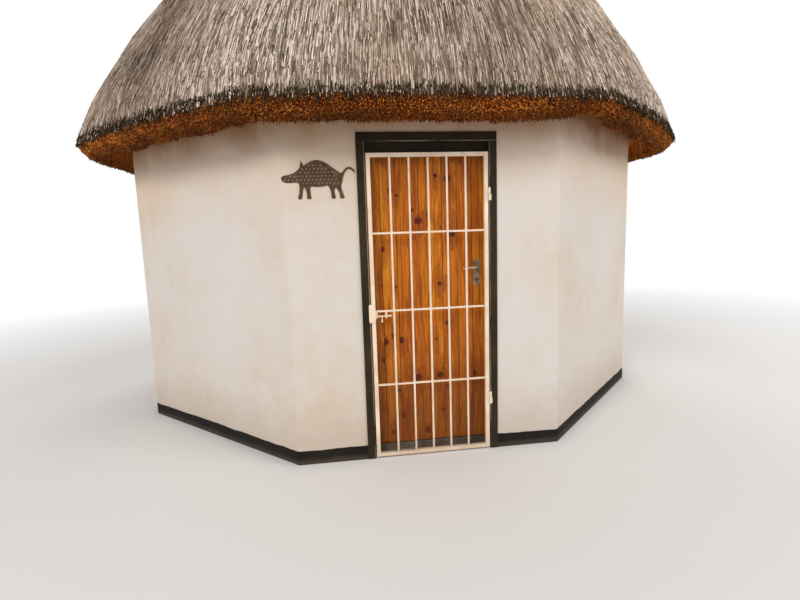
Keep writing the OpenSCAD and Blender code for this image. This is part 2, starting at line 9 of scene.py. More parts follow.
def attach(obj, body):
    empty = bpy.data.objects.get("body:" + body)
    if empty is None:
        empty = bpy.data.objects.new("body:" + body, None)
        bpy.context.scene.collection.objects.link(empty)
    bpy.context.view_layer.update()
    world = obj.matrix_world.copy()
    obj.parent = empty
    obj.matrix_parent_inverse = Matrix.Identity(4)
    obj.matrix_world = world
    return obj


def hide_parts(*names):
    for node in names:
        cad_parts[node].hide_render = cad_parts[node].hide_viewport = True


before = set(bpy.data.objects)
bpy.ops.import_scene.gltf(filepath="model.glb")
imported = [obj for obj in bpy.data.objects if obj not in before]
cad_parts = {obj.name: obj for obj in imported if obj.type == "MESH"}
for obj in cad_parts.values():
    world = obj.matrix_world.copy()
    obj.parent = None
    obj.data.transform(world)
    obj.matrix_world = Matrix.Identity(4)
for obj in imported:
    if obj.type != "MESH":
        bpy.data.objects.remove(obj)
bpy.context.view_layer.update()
# Without a fixed seed the noise vectors differ from run to run
noise.seed_set(1)
scene = bpy.context.scene
scene.view_settings.view_transform = "Standard"

# Sizes of the part's source, in metres
WALL_A, INNER_A, WALL_H = 2.130, 1.900, 2.380
FACE_TURN = pi / 4
HALF_TAN = tan(FACE_TURN / 2)
PITCH = radians(54)
SLOPE, VERTICAL = tan(PITCH), 1 / cos(PITCH)
SEAT = 0.0003
LATH_R, RAFTER_R, PLATE_R = 0.012, 0.040, 0.050
PLATE_IN = 0.096
RAFTER_DEPTH = 2 * LATH_R + 2 * SEAT + RAFTER_R
PLATE_DEPTH = RAFTER_DEPTH + RAFTER_R + PLATE_R + 2 * SEAT
EAVE_OUT, EAVE_LIP, CUT_OUT, CUT_H = 0.270, 0.090, 0.120, 0.120
CROWN_COVER, BOW, BULGE = 0.077, 1.3, 0.035
CAP_R, CAP_T, CROWN_R = 0.430, 0.045, 0.130
DOOR_X, FRAME_HALF, FRAME_FRONT = 0.010, 0.393, -2.130
# Width of the frame's pale inner line, worn paint with a painted highlight on the arris; height of the head's lower
# edge
LIP_WORN_AND_LIT, LIP_TOP = 0.0035, 2.0350
LEAF_LEFT, BOARD_W = -0.390, 0.100
LEVER_X, LEVER_Z = 0.339, 1.230
KEYHOLE_Z, KEYHOLE_HALF_W, KEYHOLE_HALF_H = LEVER_Z - 0.079, 0.007, 0.016


def under_z(r):
    """Height of the thatch's underside at the distance r from the centre, square to a face."""
    return WALL_H + PLATE_R + PLATE_DEPTH * VERTICAL + (WALL_A - PLATE_IN - r) * SLOPE


def rafter_z(r):
    return under_z(r) - RAFTER_DEPTH * VERTICAL


EAVE_LOW_R = WALL_A + EAVE_OUT
EAVE_LOW_Z = under_z(EAVE_LOW_R) - EAVE_LIP
EAVE_R = EAVE_LOW_R + CUT_OUT
EAVE_Z = EAVE_LOW_Z + CUT_H
RISE = under_z(0) + CROWN_COVER - EAVE_Z
THATCH_TOP_R = CAP_R - 0.316
HOLE_R = CROWN_R + 0.060


def thatch_r(t):
    return EAVE_R * (1 - max(t, 0) ** BOW)


def thatch_share(r):
    return (1 - r / EAVE_R) ** (1 / BOW)


def roundness(t):
    return min(1, 0.35 + 0.65 * max(t, 0) / 0.8)


WAVE_H, WAVES_ROUND, WAVES_UP, CROSS_ROUND, CROSS_UP = 0.012, 22, 5.5, 13, 3
LIP_IN = 0.045
LIP_R = EAVE_LOW_R - LIP_IN
LIP_SHARE = (under_z(LIP_R) - EAVE_Z) / RISE
CAP_SHARE, TOP_SHARE = thatch_share(CAP_R), thatch_share(THATCH_TOP_R)


def wave(angle, t):
    """The part's broad combed waves on the outer face, at the angle about Z and the share t of the rise."""
    fade = max(0, min(1, 12 * (t - LIP_SHARE), 12 * (CAP_SHARE - t)))
    across = 0.6 * sin(WAVES_ROUND * angle) * cos(2 * pi * WAVES_UP * t)
    slant = 0.4 * sin(CROSS_ROUND * angle + 2 * pi * CROSS_UP * t)
    return WAVE_H * fade * (1 - max(t, 0) ** BOW) * (across + slant)


def corner(angle, q):
    """Stretch of the radius at an angle about Z, for a roundness q of the octagon."""
    b = (angle + FACE_TURN / 2) % FACE_TURN - FACE_TURN / 2
    return (1 - q) / cos(b) + q * (1 + BULGE * (1 - q))


# Camera, fitted to the gate, the plinth and the wall corners of the photograph
CAMERA_PLACE = Vector((-0.636, -5.325, 1.510))
CAMERA_YAW, CAMERA_PITCH, CAMERA_ROLL = radians(7.95), radians(8.13), radians(-1.80)
CAMERA_FOCUS, IMAGE_WIDTH, SENSOR = 510.1, 800, 36.0


def set_camera():
    ahead = Vector((sin(CAMERA_YAW) * cos(CAMERA_PITCH), cos(CAMERA_YAW) * cos(CAMERA_PITCH), -sin(CAMERA_PITCH)))
    right = Vector((cos(CAMERA_YAW), -sin(CAMERA_YAW), 0))
    up = right.cross(ahead)
    right_r = right * cos(CAMERA_ROLL) + up * sin(CAMERA_ROLL)
    up_r = up * cos(CAMERA_ROLL) - right * sin(CAMERA_ROLL)
    data = bpy.data.cameras.new("photo_camera")
    data.sensor_width = SENSOR
    data.lens = SENSOR * CAMERA_FOCUS / IMAGE_WIDTH
    data.clip_end = 200
    turn = Matrix((right_r, up_r, -ahead)).transposed().to_4x4()
    scene.camera = placed("photo_camera", data)
    scene.camera.matrix_world = Matrix.Translation(CAMERA_PLACE) @ turn


def placed(name, data):
    obj = bpy.data.objects.new(name, data)
    scene.collection.objects.link(obj)
    return obj


def srgb(r, g, b):
    """Linear colour of a screen colour given from 0 to 255."""
    def straight(c):
        c /= 255
        return c / 12.92 if c <= 0.04045 else ((c + 0.055) / 1.055) ** 2.4
    return (straight(r), straight(g), straight(b), 1)


class Nodes:
    """A node tree with short calls for the nodes that the finishes and the straws use."""

    def __init__(self, tree):
        self.tree = tree

    def add(self, kind, **settings):
        made = self.tree.nodes.new(kind if "Node" in kind else "ShaderNode" + kind)
        for name, value in settings.items():
            setattr(made, name, value)
        return made

    def feed(self, socket, value):
        if isinstance(value, bpy.types.NodeSocket):
            self.tree.links.new(value, socket)
        else:
            socket.default_value = value

    def place(self):
        return self.add("TexCoord").outputs["Object"]

    def attribute(self, name, output="Vector"):
        return self.add("Attribute", attribute_name=name).outputs[output]

    def fed(self, kind, inputs, **settings):
        """A node with its inputs given by name or by number."""
        made = self.add(kind, **settings)
        for key, value in inputs.items():
            self.feed(made.inputs[key], value)
        return made

    def stretch(self, vector, scale):
        return self.fed("Mapping", {"Vector": vector, "Scale": scale}).outputs["Vector"]

    def split(self, vector):
        return self.fed("SeparateXYZ", {0: vector}).outputs

    def join(self, x, y, z):
        return self.fed("CombineXYZ", {0: x, 1: y, 2: z}).outputs[0]

    def vector(self, operation, a, b=(0, 0, 0)):
        made = self.fed("VectorMath", {0: a, 1: b}, operation=operation)
        return made.outputs["Value" if operation in ("LENGTH", "DOT_PRODUCT") else "Vector"]

    def noise(self, vector, scale, detail, rough, twist=0.0):
        inputs = {"Vector": vector, "Scale": scale, "Detail": detail, "Roughness": rough, "Distortion": twist}
        return self.fed("TexNoise", inputs).outputs["Fac"]

    def wander(self, vector, scale, detail, rough, reach):
        """Noise about zero, up to half the reach to either side."""
        return self.times(self.minus(self.noise(vector, scale, detail, rough), 0.5), reach)

    def cells(self, vector, scale, feature="F1"):
        return self.fed("TexVoronoi", {"Vector": vector, "Scale": scale}, feature=feature).outputs["Distance"]

    def math(self, operation, *values, clamp=False):
        return self.fed("Math", dict(enumerate(values)), operation=operation, use_clamp=clamp).outputs[0]

    def times(self, a, b):
        return self.math("MULTIPLY", a, b)

    def plus(self, a, b):
        return self.math("ADD", a, b)

    def minus(self, a, b):
        return self.math("SUBTRACT", a, b)

    def within(self, value, middle, reach):
        return self.math("LESS_THAN", self.math("ABSOLUTE", self.minus(value, middle)), reach)

    def band(self, value, low, high, start=0.0, end=1.0):
        return self.fed("MapRange", dict(enumerate((value, low, high, start, end)))).outputs[0]

    def ramp(self, value, *stops):
        """Colours at places from 0 to 1, each stop as its place and a screen colour."""
        made = self.fed("ValToRGB", {0: value})
        elements = made.color_ramp.elements
        while len(elements) < len(stops):
            elements.new(0.5)
        for element, (at, *colour) in zip(elements, stops):
            element.position = at
            element.color = srgb(*colour)
        return made.outputs[0]

    def mix(self, share, a, b):
        return self.fed("Mix", {0: share, 6: a, 7: b}, data_type="RGBA").outputs[2]

    def tint(self, colour, other, share, strength=None):
        """The colour with a screen colour laid over it where the share says, at the given strength."""
        return self.mix(share if strength is None else self.times(share, strength), colour, srgb(*other))

    def blotched(self, scale, *stops):
        """The place on the piece, blotches of the given scale over it and the colour that they get from the stops."""
        place = self.place()
        patches = self.group(BLOTCHES, Vector=place, Scale=scale)
        return place, patches, self.ramp(patches, *stops)

    def edges(self, colour, other, width, scale, amount, strength=None):
        """The colour with another where edges are worn."""
        return self.tint(colour, other, self.group(EDGE_WEAR, Width=width, Scale=scale, Amount=amount), strength)

    def bump(self, height, strength, distance, normal=None):
        inputs = {"Strength": strength, "Distance": distance, "Height": height}
        if normal is not None:
            inputs["Normal"] = normal
        return self.fed("Bump", inputs).outputs["Normal"]

    def group(self, tree, **values):
        return self.fed("Group", values, node_tree=tree).outputs[0]

    def blend(self, share, a, b, output):
        """Feeds the output with two shaders, blended by the share."""
        both = self.fed("MixShader", {0: share, 1: a, 2: b})
        self.feed(self.tree.nodes[output].inputs["Surface"], both.outputs[0])

    def look(self, shader, **values):
        """Feeds the shader's inputs, an underscore standing for each space in their names."""
        for name, value in values.items():
            self.feed(shader[name.replace("_", " ")], value)


def node_group(name, inputs, outputs, build, tree_kind="ShaderNodeTree"):
    """A node group with its sockets, whose nodes the build call makes."""
    tree = bpy.data.node_groups.new(name, tree_kind)
    for label, kind, value in inputs:
        socket = tree.interface.new_socket(name=label, in_out="INPUT", socket_type="NodeSocket" + kind)
        if value is not None:
            socket.default_value = value
    for label, kind in outputs:
        tree.interface.new_socket(name=label, in_out="OUTPUT", socket_type="NodeSocket" + kind)
    entry, out = tree.nodes.new("NodeGroupInput"), tree.nodes.new("NodeGroupOutput")
    build(Nodes(tree), entry.outputs, out.inputs)
    return tree


def build_edge_wear(n, inp, out):
    bevel = n.fed("Bevel", {"Radius": inp["Width"]}, samples=4)
    edge = n.band(n.vector("DOT_PRODUCT", bevel.outputs[0], n.add("NewGeometry").outputs["Normal"]), 0.995, 0.86)
    patches = n.noise(n.place(), inp["Scale"], 5, 0.65)
    worn = n.band(patches, n.minus(0.78, inp["Amount"]), n.minus(0.88, inp["Amount"]))
    n.feed(out["Mask"], n.math("MULTIPLY", edge, worn, clamp=True))


def build_blotches(n, inp, out):
    wide = n.noise(inp["Vector"], inp["Scale"], 3, 0.5)
    fine = n.noise(inp["Vector"], n.times(inp["Scale"], 7.3), 6, 0.6)
    both = n.plus(n.times(wide, 0.65), n.times(fine, 0.35))
    n.feed(out["Value"], n.band(both, 0.36, 0.64))


def build_ground_dirt(n, inp, out):
    place = n.place()
    height = n.split(place)[2]
    ragged = n.times(n.noise(place, 9, 6, 0.65), inp["Reach"])
    low = n.band(n.minus(height, ragged), inp["Reach"], 0.0)
    n.feed(out["Mask"], n.math("MULTIPLY", low, inp["Strength"], clamp=True))


def build_grain(n, inp, out):
    vector = inp["Vector"]
    wander = n.times(n.noise(vector, n.times(inp["Scale"], 0.14), 2, 0.5), 9.0)
    lines = n.noise(vector, inp["Scale"], 5, 0.62, 0.25)
    rings = n.math("ABSOLUTE", n.math("SINE", n.plus(n.times(lines, 14.0), wander)))
    pores = n.noise(vector, n.times(inp["Scale"], 4.5), 3, 0.7)
    n.feed(out["Value"], n.plus(n.times(rings, 0.62), n.times(pores, 0.38)))


def build_straw_lines(n, inp, out):
    fine = n.noise(inp["Vector"], inp["Scale"], 4, 0.7)
    wide = n.noise(inp["Vector"], n.times(inp["Scale"], 0.24), 3, 0.6)
    n.feed(out["Value"], n.band(n.plus(n.times(fine, 0.6), n.times(wide, 0.4)), 0.33, 0.67))


PLACE, MASK, VALUE = ("Vector", "Vector", None), [("Mask", "Float")], [("Value", "Float")]
EDGE_WEAR = node_group("edge_wear", [("Width", "Float", 0.003), ("Scale", "Float", 30.0), ("Amount", "Float", 0.3)],
                       MASK, build_edge_wear)
BLOTCHES = node_group("blotches", [PLACE, ("Scale", "Float", 2.0)], VALUE, build_blotches)
GROUND_DIRT = node_group("ground_dirt", [("Reach", "Float", 0.2), ("Strength", "Float", 0.6)], MASK, build_ground_dirt)
GRAIN = node_group("wood_grain", [PLACE, ("Scale", "Float", 20.0)], VALUE, build_grain)
STRAW_LINES = node_group("straw_lines", [PLACE, ("Scale", "Float", 120.0)], VALUE, build_straw_lines)


def finish(name, build):
    """A material whose build call gets its nodes and its Principled shader's inputs."""
    made = bpy.data.materials.new(name)
    made.use_nodes = True
    shader = made.node_tree.nodes["Principled BSDF"]
    build(Nodes(made.node_tree), shader.inputs)
    return made


def wall_plaster(n, s):
    place, _, colour = n.blotched(1.1, (0.0, 216, 202, 186), (0.5, 220, 211, 202), (1.0, 221, 216, 212))
    streaks = n.band(n.noise(n.stretch(place, (14, 14, 0.7)), 1.0, 4, 0.6), 0.56, 0.75)
    colour = n.tint(colour, (204, 188, 168), streaks, 0.10)
    # Painted shade under the eave: a warm darkening from 1.5 m up and a brown band from 2.0 m to the wall's top
    height = n.plus(n.split(place)[2], n.wander(place, 2.6, 3, 0.5, 0.34))
    colour = n.tint(colour, (224, 188, 146), n.band(height, 1.50, 2.05), 0.42)
    colour = n.tint(colour, (150, 102, 44), n.band(height, 2.00, 2.22), 0.88)
    colour = n.tint(colour, (178, 156, 132), n.group(GROUND_DIRT, Reach=0.3, Strength=0.35))
    trowel = n.noise(n.stretch(place, (1, 1, 1.6)), 7, 4, 0.5)
    grit = n.noise(place, 160, 4, 0.6)
    pits = n.band(n.cells(place, 45), 0.0, 0.09)
    normal = n.bump(trowel, 0.5, 0.004)
    normal = n.bump(grit, 0.35, 0.0012, normal)
    n.look(s, Base_Color=colour, Roughness=0.90, Specular_IOR_Level=0.25, Normal=n.bump(pits, 0.15, 0.0012, normal))


def plinth_paint(n, s):
    place, patches, colour = n.blotched(3.0, (0.0, 19, 16, 14), (1.0, 36, 31, 27))
    colour = n.tint(colour, (120, 106, 92), n.group(GROUND_DIRT, Reach=0.03, Strength=0.28))
    chips = n.band(n.noise(place, 42, 5, 0.7), 0.69, 0.71)
    colour = n.tint(colour, (150, 140, 128), chips, 0.7)
    brush = n.noise(n.stretch(place, (5, 5, 110)), 1.0, 4, 0.6)
    n.look(s, Base_Color=colour, Roughness=n.band(patches, 0.0, 1.0, 0.62, 0.82), Specular_IOR_Level=0.15,
           Normal=n.bump(brush, 0.25, 0.0015))


def floor_concrete(n, s):
    place, _, colour = n.blotched(4.0, (0.0, 56, 48, 41), (0.55, 82, 72, 61), (1.0, 116, 103, 88))
    scuffs = n.band(n.noise(n.stretch(place, (6, 40, 40)), 1.0, 5, 0.7), 0.6, 0.72)
    colour = n.tint(colour, (150, 136, 116), scuffs, 0.55)
    colour = n.edges(colour, (168, 160, 148), 0.006, 24.0, 0.34)
    n.look(s, Base_Color=colour, Roughness=0.78, Normal=n.bump(n.noise(place, 70, 6, 0.65), 0.4, 0.0015))


def painted_timber(along):
    """Dark olive paint over timber whose grain runs along the axis."""
    shrink = [16.0, 16.0, 16.0]
    shrink["XYZ".index(along)] = 1.0

    def build(n, s):
        place = n.place()
        x, y, z = n.split(place)
        grain = n.group(GRAIN, Vector=n.stretch(place, shrink), Scale=3.0)
        colour = n.ramp(grain, (0.1, 20, 14, 7), (0.9, 34, 27, 15))
        patches = n.group(BLOTCHES, Vector=place, Scale=5.0)
        worn = 0.5 if along == "Z" else 0.3
        colour = n.tint(colour, (74, 61, 36), patches, worn)
        colour = n.edges(colour, (150, 132, 98), 0.004, 38.0, 0.31, 0.8)
        # Pale line along the inner edges of the frame: worn paint, with a painted highlight on the arris
        reach = n.math("ABSOLUTE", n.minus(x, DOOR_X))
        lip = n.math("LESS_THAN", n.minus(reach, FRAME_HALF), LIP_WORN_AND_LIT)
        under = n.math("LESS_THAN", z, LIP_TOP) if along == "X" else lip
        front = n.math("LESS_THAN", y, FRAME_FRONT)
        rubbed_and_lit = n.band(n.noise(n.stretch(place, shrink), 2.2, 5, 0.6), 0.40, 0.56)
        lip_mask = n.times(n.times(under, front), rubbed_and_lit)
        colour = n.tint(colour, (172, 160, 138), lip_mask, 0.8)
        normal = n.bump(grain, 0.35, 0.001)
        n.look(s, Base_Color=colour, Roughness=n.band(patches, 0.0, 1.0, 0.55, 0.75), Specular_IOR_Level=0.18,
               Normal=n.bump(n.noise(place, 90, 3, 0.5), 0.12, 0.001, normal))
    return build


def pine(along, boards=None):
    """Varnished pine. boards is the left edge and the width of upright boards, each with its own tone."""
    shrink = [1.0, 1.0, 1.0]
    shrink["XYZ".index(along)] = 0.06
    upright = along == "Z"

    def build(n, s):
        place = n.place()
        x, y, z = n.split(place)
        shift, tone = 0.0, 0.5
        if boards:
            index = n.math("FLOOR", n.math("DIVIDE", n.minus(x, boards[0]), boards[1]))
            tone = n.fed("TexWhiteNoise", {"W": index}, noise_dimensions="1D").outputs["Value"]
            shift = n.times(index, 3.7)
        flat = n.join(x, n.plus(z, shift), 0.0)
        # Knots, with the grain bent around them and darker wood above and below
        cells = n.fed("TexVoronoi", {"Vector": flat, "Scale": 5.6}, voronoi_dimensions="2D").outputs
        away = n.vector("SUBTRACT", flat, cells["Position"])
        chance = n.split(cells["Color"])
        here = n.band(chance[0], 0.32, 0.36)
        rough_edge = n.wander(flat, 48, 3, 0.6, 0.03)

        def distance(scale):
            return n.plus(n.vector("LENGTH", n.stretch(away, scale)), rough_edge)

        size = n.band(chance[1], 0.0, 1.0, 0.014, 0.036)
        knot = n.times(n.band(n.math("DIVIDE", distance((1, 1.2, 1)), size), 1.0, 0.62), here)
        around = (1, 0.22, 1) if upright else (0.22, 1, 1)
        halo = n.times(n.band(n.math("DIVIDE", distance(around), size), 2.4, 0.7), here)
        push = n.times(halo, 0.012)
        bent = n.vector("ADD", n.stretch(n.join(x, y, n.plus(z, shift)), shrink),
                        n.join(push if upright else 0.0, 0.0, 0.0 if upright else push))
        grain = n.group(GRAIN, Vector=bent, Scale=30.0)
        streak_place = n.stretch(bent, (1, 1, 0.6) if upright else (0.6, 1, 1))
        streaks = n.band(n.noise(streak_place, 58, 3, 0.6), 0.54, 0.66)
        light = n.ramp(grain, (0.05, 226, 150, 40), (0.5, 212, 128, 22), (0.95, 180, 92, 12))
        deep = n.ramp(grain, (0.05, 210, 126, 24), (0.5, 194, 106, 14), (0.95, 150, 68, 6))
        colour = n.mix(tone, light, deep)
        colour = n.tint(colour, (136, 46, 6), streaks, 0.62)
        colour = n.tint(colour, (138, 56, 10), halo, 0.5)
        colour = n.tint(colour, (78, 22, 6), knot, 0.94)
        height = grain
        if boards:
            beside = n.math("FRACT", n.math("DIVIDE", n.minus(x, boards[0]), boards[1]))
            joint = n.math("MAXIMUM", n.band(beside, 0.04, 0.0), n.band(beside, 0.96, 1.0))
            colour = n.tint(colour, (58, 26, 10), joint, 0.8)
            # Bead run down the middle of each board
            bead = n.band(n.math("ABSOLUTE", n.minus(beside, 0.5)), 0.032, 0.0)
            colour = n.tint(colour, (92, 42, 14), bead, 0.7)
            height = n.minus(grain, n.times(bead, 3.0))
        colour = n.tint(colour, (104, 52, 16), n.group(GROUND_DIRT, Reach=0.55, Strength=0.62))
        # Painted shade of the lock's hole, on the wood behind the plates' keyholes
        keyhole = n.times(n.within(x, LEVER_X, KEYHOLE_HALF_W), n.within(z, KEYHOLE_Z, KEYHOLE_HALF_H))
        colour = n.tint(colour, (10, 7, 5), keyhole)
        n.look(s, Base_Color=colour, Roughness=n.band(grain, 0.0, 1.0, 0.42, 0.6), Specular_IOR_Level=0.22,
               Coat_Weight=0.05, Coat_Roughness=0.25, Normal=n.bump(height, 0.25, 0.0009))
    return build


def black_iron(n, s):
    place, patches, colour = n.blotched(14.0, (0.0, 30, 28, 26), (0.7, 44, 40, 36), (1.0, 84, 52, 32))
    colour = n.edges(colour, (110, 100, 90), 0.0015, 60.0, 0.3)
    n.look(s, Base_Color=colour, Metallic=0.4, Roughness=n.band(patches, 0.0, 1.0, 0.4, 0.7),
           Normal=n.bump(n.noise(place, 220, 4, 0.6), 0.3, 0.0006))


def worn_steel(dark, mid, pale, scale):
    def build(n, s):
        place, patches, colour = n.blotched(scale, (0.0, *dark), (0.6, *mid), (1.0, *pale))
        x, _, z = n.split(place)
        # Dark patch round the keyhole: painted shade of the hole, with grime
        off = n.vector("LENGTH", n.join(n.minus(x, LEVER_X), 0.0, n.minus(z, KEYHOLE_Z)))
        darkening = n.band(off, KEYHOLE_HALF_H, 0.008)
        colour = n.tint(colour, (34, 26, 18), darkening, 0.85)
        colour = n.edges(colour, (222, 212, 194), 0.0020, 80.0, 0.42)
        brushed = n.noise(n.stretch(place, (40, 40, 900)), 1.0, 2, 0.5)
        n.look(s, Base_Color=colour, Metallic=0.3, Roughness=n.band(patches, 0.0, 1.0, 0.42, 0.28),
               Normal=n.bump(brushed, 0.12, 0.0004))
    return build


def gate_paint(n, s):
    place, patches, colour = n.blotched(6.0, (0.0, 230, 206, 176), (0.6, 243, 223, 198), (1.0, 247, 232, 212))
    darkening = n.band(n.noise(n.stretch(place, (30, 30, 6)), 1.0, 6, 0.65), 0.56, 0.74)
    colour = n.tint(colour, (188, 164, 136), darkening, 0.35)
    colour = n.edges(colour, (120, 84, 58), 0.0018, 55.0, 0.17)
    rust = n.band(n.noise(place, 75, 5, 0.7), 0.735, 0.76)
    colour = n.tint(colour, (132, 78, 44), rust, 0.8)
    colour = n.tint(colour, (170, 140, 110), n.group(GROUND_DIRT, Reach=0.12, Strength=0.34))
    brush = n.noise(n.stretch(place, (160, 160, 9)), 1.0, 3, 0.5)
    n.look(s, Base_Color=colour, Roughness=n.band(patches, 0.0, 1.0, 0.38, 0.28), Coat_Weight=0.15,
           Normal=n.bump(brush, 0.18, 0.0006))


def plaque_steel(n, s):
    place, patches, colour = n.blotched(22.0, (0.0, 58, 38, 22), (0.55, 80, 55, 34), (1.0, 114, 82, 51))
    colour = n.edges(colour, (150, 112, 76), 0.0015, 70.0, 0.3)
    n.look(s, Base_Color=colour, Metallic=0.35, Roughness=n.band(patches, 0.0, 1.0, 0.5, 0.7),
           Normal=n.bump(n.noise(place, 260, 5, 0.65), 0.35, 0.0007))


def mortar(n, s):
    place, _, colour = n.blotched(5.0, (0.0, 142, 134, 122), (0.6, 178, 170, 158), (1.0, 198, 192, 182))
    lichen = n.band(n.noise(place, 18, 6, 0.7), 0.62, 0.68)
    colour = n.tint(colour, (92, 92, 72), lichen, 0.6)
    cracks = n.band(n.cells(n.stretch(place, (1, 1, 0.6)), 9, "DISTANCE_TO_EDGE"), 0.012, 0.0)
    colour = n.tint(colour, (70, 64, 56), cracks, 0.7)
    normal = n.bump(n.noise(place, 24, 6, 0.6), 0.6, 0.006)
    n.look(s, Base_Color=colour, Roughness=0.92, Normal=n.bump(cracks, -0.5, 0.002, normal))


def pole_wood(n, s):
    local = n.attribute("grain")
    grain = n.group(GRAIN, Vector=n.stretch(local, (1, 1, 0.05)), Scale=55.0)
    patches = n.group(BLOTCHES, Vector=local, Scale=6.0)
    pale = n.ramp(grain, (0.1, 164, 124, 80), (0.9, 112, 74, 42))
    dark = n.ramp(grain, (0.1, 120, 78, 46), (0.9, 74, 44, 24))
    n.look(s, Base_Color=n.mix(patches, pale, dark), Roughness=0.75, Normal=n.bump(grain, 0.5, 0.0015))


def sawn_wood(n, s):
    place = n.place()
    grain = n.group(GRAIN, Vector=n.stretch(place, (1, 1, 0.06)), Scale=40.0)
    n.look(s, Base_Color=n.ramp(grain, (0.1, 150, 108, 66), (0.9, 92, 60, 34)), Roughness=0.8,
           Normal=n.bump(grain, 0.5, 0.001))


def twine(n, s):
    place = n.place()
    twist = n.noise(place, 400, 2, 0.5)
    n.look(s, Base_Color=n.ramp(twist, (0.3, 96, 74, 48), (0.7, 158, 130, 92)), Roughness=0.9,
           Normal=n.bump(twist, 0.5, 0.001))


def thatch_slope(n, s):
    """Weathered grass combed down the slope. The comb attribute is (round, down, out)."""
    comb = n.attribute("comb")
    lines = n.group(STRAW_LINES, Vector=n.stretch(comb, (1, 0.025, 0.2)), Scale=110.0)
    patches = n.group(BLOTCHES, Vector=n.stretch(comb, (1, 0.35, 0)), Scale=2.4)
    # The dark end of these ramps is painted shade in the gaps between straws
    pale = n.ramp(lines, (0.0, 48, 39, 31), (0.45, 112, 96, 82), (1.0, 176, 160, 146))
    warm = n.ramp(lines, (0.0, 54, 41, 30), (0.45, 122, 98, 76), (1.0, 184, 160, 134))
    colour = n.mix(patches, pale, warm)
    streaks = n.band(n.noise(n.stretch(comb, (1, 0.05, 0)), 26, 3, 0.6), 0.60, 0.70)
    colour = n.tint(colour, (52, 42, 34), streaks, 0.75)
    n.look(s, Base_Color=colour, Roughness=0.95, Normal=n.bump(lines, 0.9, 0.006))


def thatch_cut(n, s):
    place = n.place()
    ends = n.cells(place, 95)
    patches = n.group(BLOTCHES, Vector=place, Scale=3.5)
    colour = n.ramp(ends, (0.1, 176, 98, 30), (0.5, 108, 52, 14), (0.8, 40, 18, 6))
    colour = n.tint(colour, (54, 26, 12), patches, 0.6)
    n.look(s, Base_Color=colour, Roughness=0.95, Specular_IOR_Level=0.15, Normal=n.bump(ends, -0.8, 0.006))


def thatch_under(n, s):
    comb = n.attribute("comb")
    lines = n.group(STRAW_LINES, Vector=n.stretch(comb, (1, 0.02, 0.2)), Scale=120.0)
    patches = n.group(BLOTCHES, Vector=comb, Scale=3.0)
    colour = n.ramp(lines, (0.0, 70, 30, 10), (0.5, 196, 108, 34), (1.0, 244, 164, 68))
    colour = n.tint(colour, (112, 60, 26), patches, 0.5)
    n.look(s, Base_Color=colour, Roughness=0.9, Specular_IOR_Level=0.2, Normal=n.bump(lines, 0.8, 0.005))


def straw(dark, mid, pale, patch, scale, share, streaked=0.0, shaded=0.0):
    """Loose straws whose tone attribute picks a colour between dark and pale, with patches of another colour.

    streaked is the strength of dark runs down the roof, shaded that of the painted shade along the eave's lower edge."""
    def build(n, s):
        place = n.place()
        tone = n.attribute("tone", "Fac")
        patches = n.group(BLOTCHES, Vector=place, Scale=scale)
        colour = n.ramp(tone, (0.0, *dark), (0.45, *mid), (1.0, *pale))
        colour = n.tint(colour, patch, patches, share)
        x, y, z = n.split(place)
        if shaded:
            # Painted shade: darker towards the eave's lower edge
            height = n.plus(z, n.wander(place, 4.0, 3, 0.5, 0.10))
            low = n.band(height, EAVE_LOW_Z + 0.050, EAVE_LOW_Z - 0.005)
            colour = n.tint(colour, patch, low, shaded)
        if streaked:
            round_about = n.times(n.math("ARCTAN2", y, x), 2.4)
            run_down = n.noise(n.join(round_about, n.times(z, 0.16), 0.0), 15, 4, 0.65)
            streaks = n.band(run_down, 0.53, 0.66)
            colour = n.tint(colour, dark, streaks, streaked)
        n.look(s, Base_Color=colour, Roughness=0.9, Specular_IOR_Level=0.2,
               Normal=n.bump(n.noise(place, 300, 2, 0.5), 0.3, 0.001))
    return build


FINISHES = {build.__name__: build for build in (
    wall_plaster, plinth_paint, floor_concrete, black_iron, gate_paint, plaque_steel, mortar, pole_wood, sawn_wood,
    twine, thatch_slope, thatch_cut, thatch_under)}
FINISHES.update({
    "frame_timber_upright": painted_timber("Z"),
    "frame_timber_cross": painted_timber("X"),
    "door_pine_boards": pine("Z", (LEAF_LEFT, BOARD_W)),
    "door_pine_ledges": pine("X"),
    "lock_steel": worn_steel((104, 80, 54), (148, 124, 92), (190, 168, 134), 26.0),
    "lever_steel": worn_steel((170, 152, 126), (208, 192, 166), (230, 218, 198), 34.0),
    "weathered_grass": straw((50, 38, 31), (166, 146, 129), (248, 236, 224), (190, 160, 132), 1.6, 0.28, streaked=0.55),
    "reed_ends": straw((76, 30, 8), (212, 112, 34), (252, 176, 78), (62, 27, 9), 4.2, 0.8, shaded=0.6),
    "mossy_grass": straw((24, 19, 11), (50, 40, 24), (92, 72, 42), (40, 34, 17), 7.0, 0.6),
    "under_reeds": straw((120, 54, 14), (222, 130, 42), (252, 186, 88), (122, 66, 30), 3.0, 0.55),
})
M = {name: finish(name, build) for name, build in FINISHES.items()}


class Shape:
    """Points and faces of one piece, with a paint index for each face and vectors for each point."""

    def __init__(self, points=(), faces=(), vectors=None):
        self.points, self.faces, self.paint, self.vectors = [], [], [], []
        self.add(points, faces, vectors)

    def add(self, points, faces, vectors=None):
        base = len(self.points)
        self.points += [Vector(p) for p in points]
        self.faces += [[base + i for i in f] for f in faces]
        self.paint += [0] * len(faces)
        self.vectors += [Vector(v) for v in (vectors or points)]


